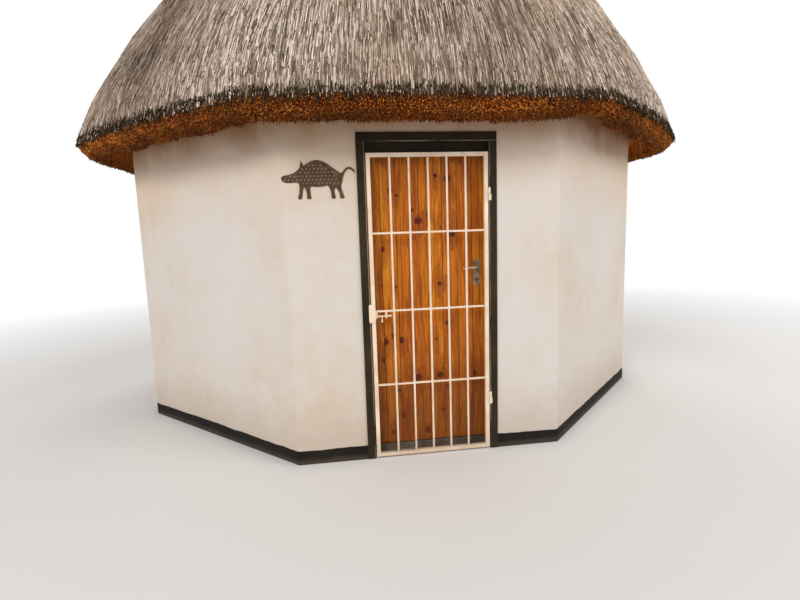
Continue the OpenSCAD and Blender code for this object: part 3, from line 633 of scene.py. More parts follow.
def mesh_object(name, shape, vector_name=None):
    mesh = bpy.data.meshes.new(name)
    mesh.from_pydata(shape.points, [], shape.faces)
    mesh.polygons.foreach_set("material_index", shape.paint)
    if vector_name:
        layer = mesh.attributes.new(vector_name, "FLOAT_VECTOR", "POINT")
        layer.data.foreach_set("vector", [c for v in shape.vectors for c in v])
    mesh.validate()
    mesh.update()
    return placed(name, mesh)


def bm_object(name, bm):
    mesh = bpy.data.meshes.new(name)
    bm.to_mesh(mesh)
    bm.free()
    return placed(name, mesh)


def dress(obj, materials, body, replaces, sharp):
    """Gives a finished piece its materials, its body and the nodes that it stands for."""
    for m in materials:
        obj.data.materials.append(M[m])
    if sharp:
        obj.data.shade_smooth()
        obj.data.set_sharp_from_angle(angle=radians(sharp))
    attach(obj, body)
    if replaces:
        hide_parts(*replaces)


def piece(name, shape, materials, replaces, sharp, vectors=None, body="hut"):
    dress(mesh_object(name, shape, vectors), materials, body, replaces, sharp)


def applied(obj):
    """Turns an object with modifiers into a plain mesh object of the same name."""
    graph = bpy.context.evaluated_depsgraph_get()
    mesh = bpy.data.meshes.new_from_object(obj.evaluated_get(graph), preserve_all_data_layers=True, depsgraph=graph)
    name = obj.name
    obj.modifiers.clear()
    old = obj.data
    obj.data = mesh
    bpy.data.meshes.remove(old)
    mesh.name = name
    return obj


MERGE, FLAT_BELOW, SHARP_ABOVE = 0.00002, radians(0.5), radians(32)


def eased(name, node, width, body, slot, segments=2, material=None, shortest=0.0):
    """A CAD node's own shape, its outer edges eased by a small bevel. Inner corners and edges under shortest stay."""
    bm = bmesh.new()
    bm.from_mesh(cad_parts[node].data)
    bmesh.ops.remove_doubles(bm, verts=bm.verts, dist=MERGE)
    bmesh.ops.dissolve_limit(bm, angle_limit=FLAT_BELOW, verts=bm.verts, edges=bm.edges)
    share = bm.edges.layers.float.new("bevel_weight_edge")
    for edge in bm.edges:
        outer = len(edge.link_faces) == 2 and edge.calc_face_angle_signed() > SHARP_ABOVE
        edge[share] = float(outer and edge.calc_length() > shortest)
    obj = bm_object(name, bm)
    bevel = obj.modifiers.new("ease", "BEVEL")
    bevel.width = width
    bevel.segments = segments
    bevel.limit_method = "WEIGHT"
    obj.data.shade_smooth()
    obj.modifiers.new("even", "WEIGHTED_NORMAL")
    dress(applied(obj), [material or slot], body, [node], sharp=0)


def grid_faces(rows, across, closed=False):
    """Faces between rows of points that run round. closed joins the last row to the first."""
    faces = []
    for k in range(rows if closed else rows - 1):
        l = (k + 1) % rows
        for i in range(across):
            j = (i + 1) % across
            faces.append([k * across + i, k * across + j, l * across + j, l * across + i])
    return faces


def tube(path, radii, sides, flat=1.0, seed=0.0):
    """Closed round tube along a path, with its local place for each point. flat squeezes it in its second direction."""
    path = [Vector(p) for p in path]
    ahead = (path[1] - path[0]).normalized()
    side = ahead.orthogonal().normalized()
    points, vectors, length = [], [], 0.0
    for k, p in enumerate(path):
        turn = (path[min(k + 1, len(path) - 1)] - path[max(k - 1, 0)]).normalized()
        side = (side - turn * side.dot(turn)).normalized()
        other = turn.cross(side)
        length += (p - path[k - 1]).length if k else 0
        for i in range(sides):
            a = 2 * pi * i / sides
            across = side * cos(a) + other * (sin(a) * flat)
            points.append(p + across * radii[k])
            vectors.append((cos(a) * radii[k] + seed, sin(a) * radii[k] - seed, length + 7 * seed))
    faces = grid_faces(len(path), sides)
    faces.append(list(range(sides))[::-1])
    faces.append([(len(path) - 1) * sides + i for i in range(sides)])
    return points, faces, vectors


def natural_pole(shape, start, end, radius, seed, sides, spacing=0.16):
    """A peeled pole between two points, never thicker than its CAD radius."""
    start, end = Vector(start), Vector(end)
    count = max(3, int((end - start).length / spacing))
    path, radii = [], []
    for k in range(count + 1):
        t = k / count
        p = start.lerp(end, t)
        drift = noise.noise_vector(Vector((seed * 3.1, t * count * 0.35, 0))) * radius * 0.06
        path.append(p + (drift if 0 < k < count else Vector()))
        radii.append(radius * (0.94 + 0.05 * noise.noise(Vector((seed * 5.3, t * count * 0.6, 4)))))
    shape.add(*tube(path, radii, sides, seed=(seed * 0.37) % 5))


def lathe(profile, sides, origin=(0, 0, 0), tilt=0):
    """Closed turned shape. profile is (radius, height) from one pole to the other, its axis tilted about X."""
    origin, turn = Vector(origin), Matrix.Rotation(tilt, 3, "X")
    points, rings, faces = [], [], []
    for r, h in profile:
        count = sides if r else 1
        rings.append([len(points) + i for i in range(count)])
        points += [origin + turn @ Vector((r * cos(2 * pi * i / sides), r * sin(2 * pi * i / sides), h))
                   for i in range(count)]
    for a, b in zip(rings, rings[1:]):
        for i in range(sides):
            j = (i + 1) % sides
            quad = [a[i % len(a)], a[j % len(a)], b[j % len(b)], b[i % len(b)]]
            faces.append([v for k, v in enumerate(quad) if v not in quad[:k]])
    return points, [f for f in faces if len(f) > 2]


def turned(point, face):
    """A point of the front face's frame turned to the given face."""
    return Matrix.Rotation(face * FACE_TURN, 3, "Z") @ Vector(point)


def outwards(a):
    return Vector((sin(a), -cos(a), 0))


# Geometry Nodes trees

def random_value(n, kind, low, high, seed):
    first = 0 if kind == "FLOAT_VECTOR" else 2
    made = n.fed("FunctionNodeRandomValue", {first: low, first + 1: high, "Seed": seed}, data_type=kind)
    return made.outputs[first // 2]


def lie_of_points(n):
    return n.fed("GeometryNodeInputNamedAttribute", {"Name": "lie"}, data_type="FLOAT_VECTOR").outputs["Attribute"]


def turned_to(n, direction):
    return n.fed("FunctionNodeAlignRotationToVector", {"Vector": direction}, axis="Z").outputs[0]


def realized(n, instances, inp, out):
    real = n.fed("GeometryNodeRealizeInstances", {"Geometry": instances}).outputs["Geometry"]
    painted = n.fed("GeometryNodeSetMaterial", {"Geometry": real, "Material": inp["Material"]})
    n.feed(out["Geometry"], painted.outputs["Geometry"])


def build_scatter(n, inp, out):
    """Straws or reeds over a patch, each lying along the patch's lie attribute."""
    def random(kind, low, high, step):
        return random_value(n, kind, low, high, n.plus(inp["Seed"], step))

    points = n.fed("GeometryNodeDistributePointsOnFaces",
                   {"Mesh": inp["Geometry"], "Density": inp["Density"], "Seed": inp["Seed"]})
    stray = n.fed("VectorMath", {0: random("FLOAT_VECTOR", (-1, -1, -1), (1, 1, 1), 11), "Scale": inp["Wander"]},
                  operation="SCALE")
    stem = n.fed("GeometryNodeMeshCylinder", {"Vertices": 3, "Radius": 0.5, "Depth": 1.0}, fill_type="NGON")
    stand = n.fed("GeometryNodeTransform", {"Geometry": stem.outputs["Mesh"],
                                            "Translation": n.join(0.0, 0.0, n.minus(0.5, inp["Sink"]))})
    longer = n.math("MULTIPLY_ADD", random("FLOAT", -1.0, 1.0, 23), inp["Length spread"], 1.0)
    thick = n.times(inp["Thickness"], random("FLOAT", 0.65, 1.35, 37))
    straws = n.fed("GeometryNodeInstanceOnPoints", {
        "Points": points.outputs["Points"], "Instance": stand.outputs["Geometry"],
        "Rotation": turned_to(n, n.vector("ADD", lie_of_points(n), stray.outputs[0])),
        "Scale": n.join(thick, thick, n.times(inp["Length"], longer))})
    toned = n.fed("GeometryNodeStoreNamedAttribute", {
        "Name": "tone", "Geometry": straws.outputs["Instances"], "Value": random("FLOAT", 0.0, 1.0, 51)},
        data_type="FLOAT", domain="INSTANCE")
    realized(n, toned.outputs["Geometry"], inp, out)


def build_set_out(n, inp, out):
    """Copies of one small shape at the points of a mesh, each facing along the point's lie attribute."""
    shape = n.fed("GeometryNodeObjectInfo", {"Object": inp["Shape"]}, transform_space="ORIGINAL")
    vary = random_value(n, "FLOAT", -1.0, 1.0, inp["Seed"])
    spin = random_value(n, "FLOAT", 0.0, inp["Spin"], inp["Seed"])
    roll = n.fed("FunctionNodeAxisAngleToRotation", {"Axis": (0, 0, 1), "Angle": spin})
    both = n.fed("FunctionNodeRotateRotation", {
        "Rotation": turned_to(n, lie_of_points(n)), "Rotate By": roll.outputs[0]}, rotation_space="LOCAL")
    parts = n.fed("GeometryNodeInstanceOnPoints", {
        "Points": inp["Geometry"], "Instance": shape.outputs["Geometry"], "Rotation": both.outputs[0],
        "Scale": n.math("MULTIPLY_ADD", vary, inp["Size spread"], inp["Size"])})
    realized(n, parts.outputs["Instances"], inp, out)


BASE, SEEDED = ("Geometry", "Geometry", None), [("Seed", "Int", 1), ("Material", "Material", None)]
SCATTER = node_group("straws_over_a_patch", [
    BASE, ("Density", "Float", 500.0), ("Length", "Float", 0.1), ("Length spread", "Float", 0.4),
    ("Thickness", "Float", 0.003), ("Wander", "Float", 0.1), ("Sink", "Float", 0.2), *SEEDED],
    [BASE[:2]], build_scatter, "GeometryNodeTree")
SET_OUT = node_group("small_parts_set_out", [
    BASE, ("Shape", "Object", None), ("Size", "Float", 1.0), ("Size spread", "Float", 0.0), ("Spin", "Float", 0.0),
    *SEEDED], [BASE[:2]], build_set_out, "GeometryNodeTree")


def grown(base, tree, material, body, slot, sharp=0, **values):
    """Runs a Geometry Nodes tree on the base mesh and keeps the result as a plain piece."""
    modifier = base.modifiers.new("grow", "NODES")
    modifier.node_group = tree
    sockets = {item.name: item.identifier for item in tree.interface.items_tree if item.in_out == "INPUT"}
    for label, value in {"Material": M[material], **values}.items():
        modifier[sockets[label.replace("_", " ")]] = value
    dress(applied(base), [], body, (), sharp)


# Walls

DOORWAY = (-0.433, 0.453, 2.085)
ARRIS, INNER_FILLET = 0.012, 0.006


def spread(low, high, count):
    return [low + (high - low) * k / (count - 1) for k in range(count)]


def wall_columns():
    """Plan of the walls as pairs of an outer and an inner point, with the doorway's columns marked."""
    outer_w, inner_w = (WALL_A - ARRIS) * HALF_TAN, (INNER_A - INNER_FILLET) * HALF_TAN
    x0, x1, _ = DOORWAY
    columns = []
    for face in range(8):
        if face:
            pairs = [(o, i, False) for o, i in zip(spread(-outer_w, outer_w, 28), spread(-inner_w, inner_w, 28))]
        else:
            pairs = [(o, i, False) for o, i in zip(spread(-outer_w, x0, 8), spread(-inner_w, x0, 8))][:-1]
            pairs += [(x, x, True) for x in spread(x0, x1, 15)]
            pairs += [(o, i, False) for o, i in zip(spread(x1, outer_w, 8), spread(x1, inner_w, 8))][1:]
        for o, i, door in pairs:
            columns.append((turned((o, -WALL_A, 0), face), turned((i, -INNER_A, 0), face), door))
        for k in range(1, 4):
            bend = outwards(FACE_TURN * k / 4)
            out = Vector((outer_w, ARRIS - WALL_A, 0)) + bend * ARRIS
            inside = Vector((inner_w, INNER_FILLET - INNER_A, 0)) + bend * INNER_FILLET
            columns.append((turned(out, face), turned(inside, face), False))
    return columns


def plaster_walls():
    columns = wall_columns()
    rows = spread(0, DOORWAY[2], 34) + spread(DOORWAY[2], WALL_H, 6)[1:]
    width, height = len(columns), len(rows)
    points = []
    for side in (0, 1):
        for z in rows:
            for column in columns:
                p = Vector((column[side].x, column[side].y, z))
                if side == 0:
                    wave = noise.noise(p * 1.7) + 0.35 * noise.noise(p * 7.0)
                    outward = Vector((p.x, p.y, 0)).normalized()
                    p -= outward * max(0.0, 0.0016 + 0.0022 * wave)
                points.append(p)

    def at(side, row, column):
        return side * width * height + row * width + column % width

    faces = []
    for r in range(height - 1):
        for c in range(width):
            d = (c + 1) % width
            if columns[c][2] and columns[d][2] and rows[r + 1] <= DOORWAY[2] + 1e-6:
                continue
            faces.append([at(0, r, c), at(0, r, d), at(0, r + 1, d), at(0, r + 1, c)])
            faces.append([at(1, r, c), at(1, r + 1, c), at(1, r + 1, d), at(1, r, d)])
    top, head = height - 1, rows.index(DOORWAY[2])
    for c in range(width):
        d = (c + 1) % width
        faces.append([at(0, top, c), at(0, top, d), at(1, top, d), at(1, top, c)])
        if columns[c][2] and columns[d][2]:
            faces.append([at(0, head, d), at(0, head, c), at(1, head, c), at(1, head, d)])
        else:
            faces.append([at(0, 0, d), at(0, 0, c), at(1, 0, c), at(1, 0, d)])
    door = [c for c in range(width) if columns[c][2]]
    for r in range(head):
        c = door[0]
        faces.append([at(0, r, c), at(0, r + 1, c), at(1, r + 1, c), at(1, r, c)])
        c = door[-1]
        faces.append([at(0, r + 1, c), at(0, r, c), at(1, r, c), at(1, r + 1, c)])
    walls = ["front_wall_left", "front_wall_right", "wall_over_door"] + [f"wall_{i}" for i in range(1, 8)]
    piece("plaster_walls", Shape(points, faces), ["wall_plaster"], walls, 30)


def plinth():
    """Painted band with a hand-cut upper edge, from jamb to jamb round the walls."""
    coat, foot = 0.004, -0.006
    corner_w = (WALL_A + coat - ARRIS) * HALF_TAN
    path = []
    for face in range(8):
        along = spread(-corner_w, corner_w, 72) if face else spread(DOORWAY[1], corner_w, 20)
        path += [(turned((x, -WALL_A, 0), face), turned((0, -1, 0), face)) for x in along]
        for k in range(1, 4):
            bend = outwards(FACE_TURN * k / 4)
            path.append((turned(Vector((corner_w, ARRIS - WALL_A, 0)) + bend * ARRIS, face), turned(bend, face)))
    path += [(Vector((x, -WALL_A, 0)), Vector((0, -1, 0))) for x in spread(-corner_w, DOORWAY[0], 20)]
    points = []
    for p, out in path:
        top = 0.092 + 0.006 * noise.noise(p * 5.5) + 0.003 * noise.noise(p * 21)
        section = [(foot, top), (0.0005, top), (0.0028, top - 0.0012), (coat, top - 0.005), (coat, 0.012),
                   (coat - 0.001, 0), (foot, 0)]
        points += [Vector((p.x, p.y, 0)) + out * o + Vector((0, 0, z)) for o, z in section]
    n = len(section)
    faces = [face[::-1] for face in grid_faces(len(path), n)]
    faces.append(list(range(n)))
    faces.append([(len(path) - 1) * n + i for i in range(n)][::-1])
    piece("plinth_coat", Shape(points, faces), ["plinth_paint"], ["plinth_band"], 30)


# Roof

def roof_poles():
    shape = Shape()
    stretch = 1 / cos(FACE_TURN / 2)
    tail_r = EAVE_LOW_R - 0.075
    head_r, hip_r = CROWN_R + 0.200, CROWN_R + SEAT + 0.030
    for face in range(8):
        half = (WALL_A - PLATE_IN - PLATE_R) * HALF_TAN - SEAT
        y, z = PLATE_IN - WALL_A, WALL_H + PLATE_R + SEAT
        natural_pole(shape, turned((-half, y, z), face), turned((half, y, z), face), PLATE_R, 100 + face, 14)
        natural_pole(shape, turned((0, -tail_r, rafter_z(tail_r)), face),
                     turned((0, -head_r, rafter_z(head_r)), face), RAFTER_R, face, 14)
        natural_pole(shape, turned((0, -tail_r * stretch, rafter_z(tail_r)), face + 0.5),
                     turned((0, -hip_r, rafter_z(hip_r / stretch)), face + 0.5), RAFTER_R, 20 + face, 14)
    piece("rafters_and_wall_plate", shape, ["pole_wood"], ["hip_rafters", "face_rafters", "wall_plate"],
          50, "grain")
    shape = Shape()
    ties = Shape()
    low_r, top_r, tied_r, rings = EAVE_LOW_R - 0.090, CROWN_R + 0.130, CROWN_R + 0.210, 10
    for ring, r in enumerate(spread(low_r, top_r, rings)):
        z = under_z(r) - (LATH_R + SEAT) * VERTICAL
        half = (r - LATH_R) * HALF_TAN - SEAT
        for face in range(8):
            seed = 200 + ring * 8 + face
            natural_pole(shape, turned((-half, -r, z), face), turned((half, -r, z), face), LATH_R, seed, 8, 0.2)
            if r > tied_r:
                ties.add([turned((0, -r, z), face)], [], [turned((0, sin(PITCH), -cos(PITCH)), face)])
    piece("lath_poles", shape, ["pole_wood"], ["laths"], 50, "grain")
    return ties


def lashing_shape():
    """Two crossing wraps of twine round a lath and a rafter, with the Z axis from the lath to the rafter."""
    shape = Shape()
    reach, wrap = 0.050, 0.020
    for turn, shift in ((pi / 4, -0.004), (pi / 4, 0.004), (-pi / 4, -0.004), (-pi / 4, 0.004)):
        spin = Matrix.Rotation(turn, 3, "Z")
        path = [spin @ Vector((reach * cos(a), shift, wrap * sin(a) + 0.014)) for a in spread(0, 2 * pi, 15)]
        shape.add(*tube(path, [0.0024] * len(path), 5))
    return mesh_object("lashing_shape", shape)


def section_rows():
    """Rows of the thatch's section from the top to the crown hole: (radius, height, roundness, zone)."""
    shares = spread(TOP_SHARE, CAP_SHARE, 5)
    shares += [CAP_SHARE * (1 - (k / SLOPE_ROWS) ** 0.9) for k in range(1, SLOPE_ROWS + 1)]
    rows = [(thatch_r(t), EAVE_Z + RISE * t, roundness(t), 0) for t in shares]
    mid_r, mid_z = (EAVE_R + EAVE_LOW_R) / 2 + CUT_OUT / 5.5, (EAVE_Z + EAVE_LOW_Z) / 2 - CUT_H / 12
    corners = [(EAVE_R, EAVE_Z, 0.35), (mid_r, mid_z, 0.3), (EAVE_LOW_R + CUT_OUT / 6.7, EAVE_LOW_Z + CUT_H / 30, 0.2)]
    for a, b in zip(corners, corners[1:]):
        rows += [tuple(a[i] + (b[i] - a[i]) * k / 5 for i in range(3)) + (1,) for k in range(1, 6)]
    toe_r = EAVE_LOW_R - CUT_OUT / 8.6
    rows.append((toe_r, EAVE_LOW_Z, 0.1, 1))
    rows += [(toe_r + (LIP_R - toe_r) * k / 3, EAVE_LOW_Z + (under_z(LIP_R) - EAVE_LOW_Z) * k / 3, 0.1 - 0.1 * k / 3, 2)
             for k in (1, 2, 3)]
    rows += [(r, under_z(r), 0, 2) for r in spread(LIP_R, HOLE_R, 16)[1:]]
    return rows


SLOPE_ROWS, THATCH_COLUMNS = 58, 352
# How far the coat lies below the straws that cover it
COAT_SINK = 0.004
EDGE_REACH, HOLLOW_H, HOLLOW_W, HOLLOW_AT = 0.09, 0.045, 0.055, FACE_TURN / 2 - 0.02


def thatch_points(rows):
    """Displaced points of the coat, with comb vectors of (round, down, out)."""
    points, vectors, down = [], [], 0.0

    def ragged(a, z):
        """Unevenness of the eave's lower edge, with a hollow below the rafter at the right corner."""
        edge = max(0, 1 - abs(z - EAVE_LOW_Z) / EDGE_REACH)
        hollow = HOLLOW_H * exp(-((a - HOLLOW_AT) / HOLLOW_W) ** 2)
        wide, fine = noise.noise(Vector((a * 9, 3, 1))) * 0.020, noise.noise(Vector((a * 37, 5, 1))) * 0.012
        return edge * (wide + fine + hollow)

    for k, (r, z, q, zone) in enumerate(rows):
        if k:
            down += ((r - rows[k - 1][0]) ** 2 + (z - rows[k - 1][1]) ** 2) ** 0.5
        for i in range(THATCH_COLUMNS):
            a = 2 * pi * i / THATCH_COLUMNS
            stretch = corner(a, q)
            out = outwards(a)
            spot = out * r + Vector((0, 0, z))
            dr = dz = 0.0
            if zone == 0:
                run = noise.noise(Vector((a * 34, down * 1.3, 2))) * 0.004
                comb = noise.noise(spot * 3.1) * 0.004 + run - COAT_SINK
                fade = min(1, max(0, (r - CAP_R + 0.03) * 6))
                share = (z - EAVE_Z) / RISE
                dr = comb * fade + wave(a, share)
            elif zone == 1:
                dr = noise.noise(spot * 9) * 0.009 + noise.noise(spot * 24) * 0.006
                dz = ragged(a, z)
            else:
                dz = ragged(a, z)
                if r < EAVE_LOW_R - 0.1:
                    dz = 0.004 + noise.noise(spot * 6) * 0.003
            points.append(out * (r * stretch + dr) + Vector((0, 0, z + dz)))
            turn = round(a / FACE_TURN) * FACE_TURN
            vectors.append((sin(a - turn) * r * stretch + turn * 2.4, down, dr))
    return points, vectors


def thatch():
    rows = section_rows()
    points, vectors = thatch_points(rows)
    n, m = THATCH_COLUMNS, len(rows)
    shape = Shape(points, [face[::-1] for face in grid_faces(m, n, closed=True)], vectors)
    shape.paint = [zone for row in rows[1:] for zone in [row[3]] * n] + [2] * n
    piece("thatch_coat", shape, ["thatch_slope", "thatch_cut", "thatch_under"], ["thatch", "thatch_eave"],
          60, "comb")

    def patch(name, first, last, lie):
        """Rows of the coat as a patch whose straws point by shares of (down the coat, outwards, up)."""
        down, away, up = lie
        lies = []
        for k in range(first, last + 1):
            for i in range(n):
                p, q = points[max(k - 1, first) * n + i], points[min(k + 1, last) * n + i]
                fall = (q - p).normalized()
                lies.append(fall * down + outwards(2 * pi * i / n) * away + Vector((0, 0, up)))
        quads = [face[::-1] for face in grid_faces(last - first + 1, n)]
        return mesh_object(name, Shape(points[first * n:(last + 1) * n], quads, lies), "lie")

    # Last rows of the slope and of the cut
    edge = max(k for k in range(m) if rows[k][3] == 0)
    low = max(k for k in range(m) if rows[k][3] == 1)
    # Each layer: name, material, first and last row, direction, and the values of the tree's inputs
    labels = ("Density", "Length", "Length_spread", "Thickness", "Wander", "Sink", "Seed")
    for name, material, first, last, lie, *values in (
            ("upper_straws", "weathered_grass", 4, edge - 22, (1, 0.01, 0), 1220.0, 0.210, 0.4, 0.0060, 0.02, 0.45, 3),
            ("middle_straws", "weathered_grass", edge - 23, edge - 13, (1, 0.01, 0),
             2300.0, 0.150, 0.4, 0.0055, 0.025, 0.45, 17),
            ("lower_straws", "weathered_grass", edge - 14, edge - 4, (1, 0.012, 0),
             2500.0, 0.115, 0.4, 0.0052, 0.03, 0.48, 19),
            ("edge_straws", "weathered_grass", edge - 5, edge, (1, 0.02, 0),
             3600.0, 0.070, 0.4, 0.0055, 0.05, 0.66, 13),
            ("reed_ends", "reed_ends", edge + 1, low, (0, 0.8, -0.62), 8200.0, 0.032, 0.6, 0.0065, 0.3, 0.72, 5),
            ("mossy_fringe", "mossy_grass", edge - 1, edge + 1, (0.8, 0.25, -0.35),
             7200.0, 0.040, 0.7, 0.0065, 0.42, 0.38, 7),
            ("under_reeds", "under_reeds", low + 2, low + 7, (-0.98, 0, 0), 1500.0, 0.120, 0.5, 0.0060, 0.07, 0.6, 9),
            ("eave_tufts", "reed_ends", low - 2, low + 1, (0, 0.45, -1), 5200.0, 0.036, 0.6, 0.0055, 0.5, 0.6, 11)):
        grown(patch(name, first, last, lie), SCATTER, material, "hut", "thatch", **dict(zip(labels, values)))


def mortar_cap():
    """Hand-trowelled cap over the crown, uneven at its skirt."""
    sides, rings = 72, 16
    points = []

    def inner(e):
        t = CAP_SHARE + (TOP_SHARE - CAP_SHARE) * e
        return thatch_r(t) + SEAT, EAVE_Z + RISE * t + SEAT

    outer_rows = []
    for k in range(rings + 1):
        e = k / rings
        r, z = inner(e)
        outer_rows.append((r * (1 - e * e / 4) + CAP_T / 2, z + CAP_T * (1 + 1.2 * e * e)))
    peak = outer_rows[-1][1] + CAP_T
    crown = [(outer_rows[-1][0] * f, outer_rows[-1][1] + CAP_T * (1 - f * f)) for f in (0.75, 0.5, 0.25)]
    rows = [inner(e) for e in (1.0, 0.66, 0.33, 0.0)]
    skirt = len(rows)
    rows += outer_rows + crown
    for k, (r, z) in enumerate(rows):
        for i in range(sides):
            a = 2 * pi * i / sides
            p = Vector((r * sin(a), -r * cos(a), z))
            d = 0.0
            if k >= skirt:
                d = noise.noise(p * 7) * 0.007 + noise.noise(p * 21) * 0.003 - 0.004
            ragged = noise.noise(Vector((a * 3.5, 1, 9))) * 0.022 if k == skirt else 0.0
            points.append(p + outwards(a) * (d + ragged * 0.6) + Vector((0, 0, d - ragged * 0.8)))
    points.append(Vector((0, 0, peak - 0.004)))
    points.append(Vector((0, 0, rows[0][1])))
    faces = grid_faces(len(rows), sides)
    last = (len(rows) - 1) * sides
    for i in range(sides):
        j = (i + 1) % sides
        faces.append([last + i, last + j, len(points) - 2])
        faces.append([j, i, len(points) - 1])
    piece("mortar_crown", Shape(points, faces), ["mortar"], ["mortar_cap"], 60)


# Door and gate

LEAF_FRONT, LEDGE_BACK, IRON_T = 2.051, 2.007, 0.003
LEDGE_Z = (0.237, 1.100, 1.855)


def levers():
    shape = Shape()
    reach, bend, length = 0.030, 0.014, 0.078
    for side, face in ((-1, -LEAF_FRONT), (1, -LEDGE_BACK)):
        collar = [(0, 0.0003), (0.0098, 0.0003), (0.0100, 0.003), (0.0085, 0.006), (0.0068, 0.010), (0.0062, 0.018),
                  (0.0066, 0.024), (0, 0.026)]
        shape.add(*lathe(collar, 24, (LEVER_X, face, LEVER_Z), -side * pi / 2))
        path, radii = [], []
        for k in range(9):
            a = k / 8 * pi / 2
            path.append((LEVER_X - bend * (1 - cos(a)), face + side * (reach - bend + bend * sin(a)), LEVER_Z))
            radii.append(0.0066 + 0.0010 * k / 8)
        for k in range(1, 15):
            t = k / 14
            path.append((LEVER_X - bend - length * t, face + side * (reach + 0.003 * sin(pi * t)),
                         LEVER_Z + 0.0025 * sin(pi * t) - 0.002 * t))
            radii.append(0.0076 + 0.0008 * sin(pi * t) - 0.0012 * t)
        tip, tip_r = Vector(path[-1]), radii[-1]
        for k in range(1, 6):
            a = k / 5 * pi / 2
            path.append(tip + Vector((-0.0055 * sin(a), 0, 0)))
            radii.append(max(0.0006, tip_r * cos(a)))
        shape.add(*tube(path, radii, 20, 0.8))
    shape.add(*tube([(LEVER_X, y, LEVER_Z) for y in (-LEAF_FRONT, -LEDGE_BACK)], [0.0045] * 2, 4))
    piece("lever_pair", shape, ["lever_steel"], ["lever_handle"], 40, body="lever")


def screw_shape(radius, height):
    """Domed screw head with a slot, its Z axis outwards."""
    profile = [(0, -0.001), (radius, -0.001), (radius, height * 0.35), (radius * 0.86, height * 0.7),
               (radius * 0.5, height * 0.95), (0, height)]
    head = mesh_object("screw", Shape(*lathe(profile, 16)))
    w, l, low, high = radius * 0.13, radius * 1.3, height * 0.35, height * 1.4
    corners = [(x, y, z) for z in (low, high) for x, y in ((-l, -w), (l, -w), (l, w), (-l, w))]
    sides = [[3, 2, 1, 0], [4, 5, 6, 7], [0, 1, 5, 4], [1, 2, 6, 5], [2, 3, 7, 6], [3, 0, 4, 7]]
    cutter = mesh_object("screw_slot", Shape(corners, sides))
    cut = head.modifiers.new("slot", "BOOLEAN")
    cut.object = cutter
    cut.operation = "DIFFERENCE"
    applied(head)
    bpy.data.objects.remove(cutter)
    return head


def set_out(name, places, shape, material, body, slot, **values):
    """Small parts at (place, direction) pairs, kept as one piece."""
    spots, lies = zip(*places)
    grown(mesh_object(name, Shape(spots, [], lies), "lie"), SET_OUT, material, body, slot, 40, Shape=shape, **values)


def bead_shape():
    """Lumpy weld bead about 1 unit across."""
    bm = bmesh.new()
    bmesh.ops.create_icosphere(bm, subdivisions=2, radius=1.0)
    for v in bm.verts:
        v.co *= 1 + 0.22 * noise.noise(v.co * 2.3)
    return bm_object("bead", bm)


GATE_MID = -2.1275
BAR_X = [-0.230, -0.110, 0.010, 0.130, 0.250]
RAIL_Z = [0.497, 0.983, 1.475]
GATE_INSIDE = (-0.350, 0.370, 0.037, 1.937)
BAR_HALF, WELD_IN = 0.006, 0.001


def gate_welds():
    places = []
    x0, x1, z0, z1 = GATE_INSIDE
    for y, side in ((GATE_MID - BAR_HALF, -1), (GATE_MID + BAR_HALF, 1)):
        lie = Vector((0, side, 0))
        for x in BAR_X:
            for z in (z0 + WELD_IN, z1 - WELD_IN):
                places.append((Vector((x, y, z)), lie))
            for z in RAIL_Z:
                for dx in (-BAR_HALF, BAR_HALF):
                    places.append((Vector((x + dx, y * 0.9995, z + BAR_HALF)), lie))
        for z in RAIL_Z:
            for x in (x0 + WELD_IN, x1 - WELD_IN):
                places.append((Vector((x, y, z)), lie))
    bead = bead_shape()
    set_out("gate_weld_beads", places, bead, "gate_paint", "gate", "gate_paint",
            Size=0.0034, Size_spread=0.0008, Spin=6.0, Seed=4)
    bpy.data.objects.remove(bead)


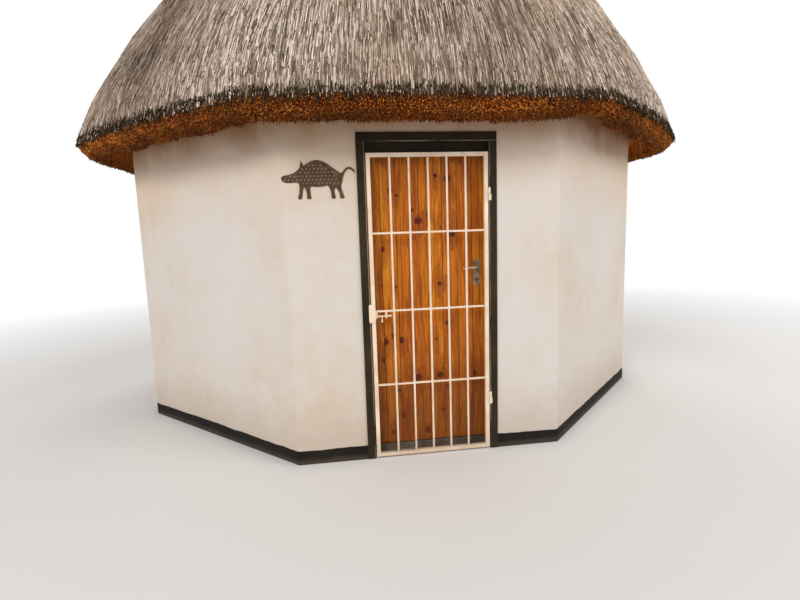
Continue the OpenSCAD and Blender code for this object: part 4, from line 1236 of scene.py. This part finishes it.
def hardware():
    for row in (
            ("lock_plate_front", "lock_plate_outer", 0.0007, "door", "lock_steel"),
            ("lock_plate_back", "lock_plate_inner", 0.0007, "door", "lock_steel"),
            ("strap_hinges", "door_straps", 0.0008, "door", "black_iron"),
            ("hinge_plates", "door_hinge_plates", 0.0008, "hut", "black_iron"),
            ("gate_tube_frame", "gate_frame", 0.0028, "gate", "gate_paint", 3),
            ("gate_bars_and_rails", "gate_bars", 0.0012, "gate", "gate_paint"),
            ("gate_knuckles", "gate_hinge_tops", 0.0010, "gate", "gate_paint"),
            ("gate_pins", "gate_hinge_pins", 0.0010, "hut", "gate_paint"),
            ("bolt_lugs", "bolt_guide", 0.0010, "gate", "gate_paint"),
            ("cover_plate", "gate_cover_plate", 0.0010, "gate", "gate_paint"),
            ("slide_bolt", "gate_bolt", 0.0008, "bolt", "gate_paint"),
            ("pig_cutout", "animal_plaque", 0.0006, "hut", "plaque_steel", 1)):
        eased(*row)
    small, large = screw_shape(0.0042, 0.0018), screw_shape(0.0052, 0.0022)
    out, back = Vector((0, -1, 0)), Vector((0, 1, 0))
    plates = [(Vector((LEVER_X, face, z)), lie)
              for face, lie in ((-LEAF_FRONT - IRON_T, out), (-LEDGE_BACK + IRON_T, back))
              for z in (LEVER_Z + 0.042, LEVER_Z - 0.108)]
    set_out("lock_plate_screws", plates, small, "lock_steel", "door", "lock_steel", Spin=3.0, Seed=2)
    straps = [(Vector((x, -LEDGE_BACK + IRON_T, z)), back)
              for z in (LEDGE_Z[0], LEDGE_Z[2]) for x in (-0.345, -0.270, -0.195, -0.120)]
    set_out("strap_screws", straps, large, "black_iron", "door", "black_iron", Spin=3.0, Seed=3)
    boards = []
    for z in LEDGE_Z:
        for k in range(8):
            x = LEAF_LEFT + BOARD_W * (k + 0.5)
            for dz in (-0.038, 0.038):
                if (x > -0.09 or z == LEDGE_Z[1]) and not (z + dz > LEVER_Z - 0.12 and x > LEVER_X - 0.03):
                    boards.append((Vector((min(x, 0.355), -LEDGE_BACK, z + dz)), back))
    set_out("ledge_screws", boards, small, "black_iron", "door", "black_iron", Spin=3.0, Seed=6)
    for head in (small, large):
        bpy.data.objects.remove(head)


def timber():
    for row in (
            ("jamb_left", "frame_jamb_left", 0.0022, "hut", "frame_timber", 3, "frame_timber_upright", 0.02),
            ("jamb_right", "frame_jamb_right", 0.0022, "hut", "frame_timber", 3, "frame_timber_upright"),
            ("head_rail", "frame_head", 0.0022, "hut", "frame_timber", 3, "frame_timber_cross"),
            ("stop_board", "frame_stop_board", 0.0015, "hut", "frame_timber", 2, "frame_timber_cross"),
            ("pine_boards", "door_boards", 0.0009, "door", "door_pine", 2, "door_pine_boards"),
            ("pine_ledges", "door_ledges", 0.0022, "door", "door_pine", 2, "door_pine_ledges"),
            ("sill", "threshold", 0.0060, "hut", "floor_concrete", 3)):
        eased(*row)


def own_shapes():
    """Gives the CAD nodes that keep their own shape their materials."""
    for node, material in (
            ("floor_slab", "floor_concrete"), ("beam_filling", "wall_plaster"), ("crown_block", "sawn_wood")):
        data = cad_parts[node].data
        data.materials.clear()
        data.materials.append(M[material])


# Setting

WORLD_LIGHT = 0.47
LAMPS = [
    ("key_lamp", (-7.0, -10.5, 8.0), (0, -1.5, 1.2), 5.0, 760, (1.0, 0.97, 0.94)),
    ("fill_lamp", (8.5, -6.5, 5.5), (0, -1.0, 1.8), 6.0, 400, (1.0, 0.97, 0.94)),
    ("rim_lamp", (2.0, 11.0, 9.0), (0, 0, 2.5), 6.0, 560, (1.0, 0.98, 0.96)),
]


def studio():
    floor_mesh = bpy.data.meshes.new("studio_floor")
    reach, low = 60, -0.0005
    floor_mesh.from_pydata([(-reach, -reach, low), (reach, -reach, low), (reach, reach, low), (-reach, reach, low)],
                           [], [[0, 1, 2, 3]])

    def pale(n, s):
        """Pale floor that keeps the shadow near the hut and runs out to plain white."""
        n.look(s, Base_Color=(0.80, 0.79, 0.78, 1), Roughness=0.9)
        fade = n.band(n.vector("LENGTH", n.place()), 3.6, 8.5)
        shown = n.times(fade, n.add("LightPath").outputs["Is Camera Ray"])
        n.blend(shown, n.tree.nodes["Principled BSDF"].outputs[0], n.add("Emission").outputs[0], "Material Output")
    floor_mesh.materials.append(finish("studio_floor", pale))
    placed("studio_floor", floor_mesh)
    world = bpy.data.worlds.new("studio")
    scene.world = world
    world.use_nodes = True
    n = Nodes(world.node_tree)
    light = world.node_tree.nodes["Background"]
    n.look(light.inputs, Color=(1.0, 0.985, 0.97, 1), Strength=WORLD_LIGHT)
    seen = n.fed("Background", {"Color": (1, 1, 1, 1)})
    path = n.add("LightPath").outputs
    direct = n.math("MAXIMUM", path["Is Glossy Ray"], path["Is Transmission Ray"])
    n.blend(n.math("MAXIMUM", path["Is Camera Ray"], direct), light.outputs[0], seen.outputs[0], "World Output")
    for name, place, aim, size, power, colour in LAMPS:
        data = bpy.data.lights.new(name, "AREA")
        data.shape = "DISK"
        data.size = size
        data.energy = power
        data.color = colour
        turn = (Vector(aim) - Vector(place)).to_track_quat("-Z", "Y")
        placed(name, data).matrix_world = Matrix.Translation(place) @ turn.to_matrix().to_4x4()


set_camera()
studio()
plaster_walls()
plinth()
timber()
levers()
hardware()
gate_welds()
ties = roof_poles()
lashing = lashing_shape()
set_out("lath_lashings", zip(ties.points, ties.vectors), lashing, "twine", "hut", "roof_poles", Seed=8)
bpy.data.objects.remove(lashing)
thatch()
mortar_cap()
own_shapes()
